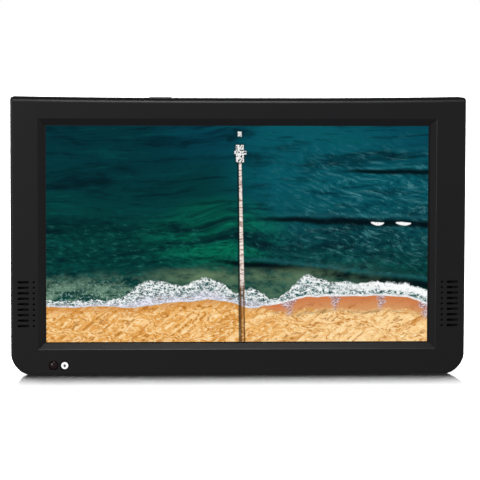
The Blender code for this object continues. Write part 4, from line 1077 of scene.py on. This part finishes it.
def build_key(name, slot, paint_slot):
    """Key with a softened rim, a shallow dish and a painted sunk mark, above its flange and stem."""
    low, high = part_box(name)
    centre = node_centre(name).xy
    flange_top = KEY_TOP - WALL - GAP
    flange_low = flange_top - FLANGE
    flange = rounded(high.x - low.x, high.y - low.y, KEY_CORNER, centre)
    stem = rounded(KEY_STEM, KEY_STEM, KEY_CORNER, centre)
    sections = [(low.z, stem), (flange_low, stem), (flange_low, flange), (flange_top, flange),
                (flange_top, rounded(*KEY_CAP, KEY_CORNER, centre))]
    for rise, run in quarter(5):
        cap = grown(KEY_CAP, -KEY_EDGE * run)
        sections.append((high.z - KEY_EDGE * rise, rounded(*cap, KEY_CORNER - KEY_EDGE * run * 0.8, centre)))
    for depth, inset in KEY_DISH:
        sections.append((high.z - depth, rounded(*grown(KEY_CAP, -inset), GAP, centre)))
    key = make(name + "_cap", loft("Z", sections))
    floor = high.z - GAP
    marks = [[(centre[0] + x, centre[1] + y) for x, y in mark] for mark in KEY_MARKS[name]]
    cut(key, *[prism("Z", floor, high.z + OVERCUT, mark) for mark in marks])
    finish_piece(key, name, slot, name)
    sign = make(name + "_sign", *[prism("Z", floor - MARK_PAINT, floor + MARK_PAINT, mark) for mark in marks])
    finish_piece(sign, name, paint_slot)


# ---- stand
STAND_INNER, STAND_OUTER = 0.0142, 0.0176       # the plate's two faces
STAND_EDGE = 0.0005
STAND_SINK = 0.0004             # depth of the panel and the grooves in the plate
STAND_PANEL = (0.066, 0.052, 0.004)     # width, height, corner
STAND_PANEL_Z = 0.070
GRIP = (0.026, 0.0008, 0.00035)         # width, height and corner of a grip groove
GRIP_ROWS = [0.0245 + 0.0022 * i for i in range(6)]     # heights of the grooves
RIB = (0.002, 0.073)            # width and height; the ribs stiffen the inner face
RIB_DEPTH = 0.001
RIB_PLACES = [(x, 0.0635) for x in (-0.028, 0.0, 0.028)]


def stand_outline(inset):
    """Outline of the stand's plate below its hinge, pulled in by inset."""
    low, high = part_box("kickstand")
    half = high.x - inset
    corner = STAND_CORNER - inset
    bend = half - corner
    foot = low.z + inset + corner
    outline = [(half, STAND_AXIS.z - inset), (-half, STAND_AXIS.z - inset)]
    outline += arc((-bend, foot), corner, 180, 270, 14)
    outline += arc((bend, foot), corner, 270, 360, 14)
    return outline


def plate_recess(width, height, corner, z, points=6):
    """Cutter for a shallow recess with softened rims in the stand's outer face."""
    return flared_hole("Y", STAND_OUTER, STAND_OUTER - STAND_SINK, lambda grow: rounded(
        *grown((width, height), grow), corner + grow, (0.0, z), points), STAND_SINK / 2)


def build_stand():
    """Fold-out stand: softened plate with a sunk panel, grip grooves, ribs and a hinge barrel."""
    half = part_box("kickstand")[1].x
    sections = [(STAND_INNER, stand_outline(STAND_EDGE)), (STAND_INNER + STAND_EDGE, stand_outline(0.0))]
    sections += [(STAND_OUTER - STAND_EDGE * rise, stand_outline(STAND_EDGE * run))
                 for rise, run in quarter(6)]
    stand = make("stand_plate", loft("Y", sections))
    barrel = circle(STAND_BARREL, STAND_AXIS.yz, FINE)
    end = circle(STAND_BARREL - GAP, STAND_AXIS.yz, FINE)
    join(stand, loft("X", [(-half, end), (GAP - half, barrel), (half - GAP, barrel), (half, end)]))
    join(stand, *[prism("Y", STAND_INNER - RIB_DEPTH, STAND_INNER + EMBED, rectangle(*RIB, place))
                  for place in RIB_PLACES])
    recesses = [plate_recess(*STAND_PANEL, STAND_PANEL_Z, 8)]
    recesses += [plate_recess(*GRIP, z) for z in GRIP_ROWS]
    cut(stand, *recesses, prism("X", -half - OVERCUT, half + OVERCUT, circle(PIN_HOLE, STAND_AXIS.yz)))
    finish_piece(stand, "kickstand", "black_plastic", "kickstand")


# ---- feet and screws
def build_foot(name):
    """Rubber pad with softened edges and two grooves across its sole."""
    low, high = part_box(name)
    size = (high.x - low.x, high.y - low.y)
    centre = node_centre(name).xy
    edge, corner = 0.0002, 0.0018
    pad = rounded(*size, corner, centre)
    sole = rounded(*grown(size, -edge), corner - edge, centre)
    foot = make(name + "_pad", loft("Z", [(low.z, sole), (low.z + edge, pad), (high.z, pad)]))
    grooves = []
    for y in (centre[1] - size[1] / 6, centre[1] + size[1] / 6):
        groove = rectangle(size[0] * 0.7, edge * 3, (centre[0], y))
        grooves.append(prism("Z", low.z - OVERCUT, low.z + edge, groove))
    cut(foot, *grooves)
    finish_piece(foot, "case", "rubber", name)


def build_screw(name):
    """Pan-head screw with a cross recess, and ridges like a thread on its shaft."""
    low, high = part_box(name)
    centre = node_centre(name).xz
    radius = (high.x - low.x) / 2
    head = 0.0016
    seat = high.y - head
    root, crest, tip = 0.0009, 0.0012, 0.0006   # radii of the shaft
    pitch, point = 0.0006, 0.0008
    profile = [(low.y, tip), (low.y + point, root)]
    along = low.y + point + pitch / 2
    while along < seat - pitch:
        profile += [(along, crest), (along + pitch / 2, root)]
        along += pitch
    profile += [(seat, root), (seat, radius)]
    profile += [(high.y - head * 0.7 * rise, radius * (1 - 0.55 * run)) for rise, run in quarter(6)]
    screw = make(name + "_detail", loft("Y", [(along, circle(size, centre)) for along, size in profile]))
    cut(screw, prism("Y", high.y - head / 2, high.y + OVERCUT, cross(radius * 1.15, 0.0005, centre)))
    finish_piece(screw, "case", "steel", name)


# ---- carried-over CAD nodes
def dress_nodes():
    """Gives each CAD node that still shows the material of its slot."""
    slots = {row["node"]: row["material_slot"] for row in frame["record"]["subparts"]}
    for name, node in frame["nodes"].items():
        node.data.materials.clear()
        node.data.materials.append(MATERIALS[slots[name]])


# ---- studio
REACH = 1.25                    # from the set to each panel
PANELS = {                      # turn, rise, size, radiance
    "front_panel": (0.0, 50.0, (0.24, 0.60), 8.0),
    "left_panel": (-34.0, 9.0, (0.25, 0.55), 5.0),
    "rear_left_panel": (-126.0, 22.0, (0.90, 0.90), 4.3),
    "rear_right_panel": (126.0, 22.0, (0.90, 0.90), 4.3),
}
FLOOR_SUNS = {                  # lean off the vertical, angle across the sun, energy
    "floor_sun": (10.0, 20.0, 4.2),
    "floor_rim_sun": (86.0, 2.0, 60.0),
}
DARK, WALL_SHADE, GROUND_SHADE = 0.01, 0.23, 0.165     # greys of the room that is reflected
CAMERA_TURN, CAMERA_RISE, CAMERA_ROLL = (math.radians(angle) for angle in (-2.65, 4.20, 0.146))
CAMERA_DISTANCE = 1.6
CAMERA_LENS = 180.1
CAMERA_SHIFT = (0.0024, -0.0115)


def direction(turn, rise):
    """Unit vector that points away from the set's front, turned and raised by angles in radians."""
    return Vector((math.sin(turn) * math.cos(rise), -math.cos(turn) * math.cos(rise), math.sin(rise)))


def build_floor():
    """Pale floor that only the camera and the floor's own lights see."""
    floor = make("studio_floor", prism("Z", -0.02, 0.0, rectangle(40.0, 40.0)))
    material, shader, _ = new_material("studio_floor", grey(0.90), 0.9)
    plug(0.0, shader.inputs["Specular IOR Level"])
    floor.data.materials.append(material)
    floor.visible_glossy = False
    floor.visible_diffuse = False
    return floor


def add_lamp(name, kind, place, target):
    """Lamp at a place, turned to face a point."""
    lamp = bpy.data.objects.new(name, bpy.data.lights.new(name, kind))
    lamp.location = place
    lamp.rotation_euler = (Vector(target) - Vector(place)).to_track_quat("-Z", "Y").to_euler()
    bpy.context.scene.collection.objects.link(lamp)
    return lamp


def link_light(lamp, floor, only_floor):
    """Lets a lamp light the floor alone, or everything but the floor."""
    group = bpy.data.collections.new("lit_by_" + lamp.name)
    group.objects.link(floor)
    if not only_floor:
        group.collection_objects[0].light_linking.link_state = "EXCLUDE"
    lamp.light_linking.receiver_collection = group


def build_lights(floor):
    """Soft panels round the set, and two suns behind it that light the floor alone."""
    middle = Vector((0.0, FRONT, (BASE + CREST) / 2))
    for name, (turn, rise, size, radiance) in PANELS.items():
        place = middle + direction(math.radians(turn), math.radians(rise)) * REACH
        lamp = add_lamp(name, "AREA", place, middle)
        lamp.data.shape = "RECTANGLE"
        lamp.data.size, lamp.data.size_y = size
        lamp.data.energy = radiance * math.pi * size[0] * size[1]
        link_light(lamp, floor, False)
    for name, (lean, angle, energy) in FLOOR_SUNS.items():
        lean = math.radians(lean)
        lamp = add_lamp(name, "SUN", (0.0, math.sin(lean), math.cos(lean)), (0.0, 0.0, 0.0))
        lamp.data.angle = math.radians(angle)
        lamp.data.energy = energy
        link_light(lamp, floor, True)


def build_world():
    """White behind the set; for reflections, a grey room that is dark overhead and low down behind."""
    world = bpy.data.worlds.new("studio_world")
    bpy.context.scene.world = world
    world.use_nodes = True
    tree = world.node_tree
    _, deep, up = split(coordinate(tree, "Generated"))
    dark, wall, ground = [(level, level, level * 1.03, 1.0) for level in (DARK, WALL_SHADE, GROUND_SHADE)]
    room = blend(dark, wall, smooth(up, 0.70, 0.15))
    room = blend(ground, room, smooth(up, -0.25, 0.05))
    room = blend(room, dark, smooth(deep, 0.80, 0.95) * smooth(abs(up), 0.30, 0.15))
    seen = Field(tree, tree.nodes.new("ShaderNodeLightPath").outputs["Is Camera Ray"])
    plug(blend(room, grey(1.0), seen), tree.nodes["Background"].inputs["Color"])


def build_camera():
    """Camera a little above and to the left of straight ahead."""
    back = direction(CAMERA_TURN, CAMERA_RISE)
    data = bpy.data.cameras.new("camera")
    data.sensor_width = 36.0
    data.lens = CAMERA_LENS
    data.shift_x, data.shift_y = CAMERA_SHIFT
    camera = bpy.data.objects.new("camera", data)
    camera.location = Vector((0.0, FRONT, PICTURE_Z)) + back * CAMERA_DISTANCE
    roll = Quaternion((0.0, 0.0, 1.0), CAMERA_ROLL)
    camera.rotation_euler = ((-back).to_track_quat("-Z", "Y") @ roll).to_euler()
    bpy.context.scene.collection.objects.link(camera)
    bpy.context.scene.camera = camera


build_camera()
build_world()
build_lights(build_floor())
bpy.context.scene.view_settings.view_transform = "Standard"
dress_nodes()
build_bezel()
build_screen()
build_lens("status_led", LAMP_RADIUS, LAMP_GROOVE + 2 * GAP, GAP, "lamp_plastic")
build_lens("ir_window", WINDOW_RADIUS, 2 * GAP, WINDOW_DOME, "window_plastic")
build_cover()
for socket, sizes in ROUND_SOCKETS.items():
    build_round_socket(socket, *sizes)
for socket, sizes in SLOT_SOCKETS.items():
    build_slot_socket(socket, *sizes)
build_switch_knob()
build_key(KEY_NODES[0], "grey_plastic", "black_plastic")
for key in KEY_NODES[1:]:
    build_key(key, "black_plastic", "grey_plastic")
build_stand()
for row in ("front", "rear"):
    for word in ("left", "right"):
        build_foot("foot_%s_%s" % (row, word))
for screw in SCREW_NODES:
    build_screw(screw)
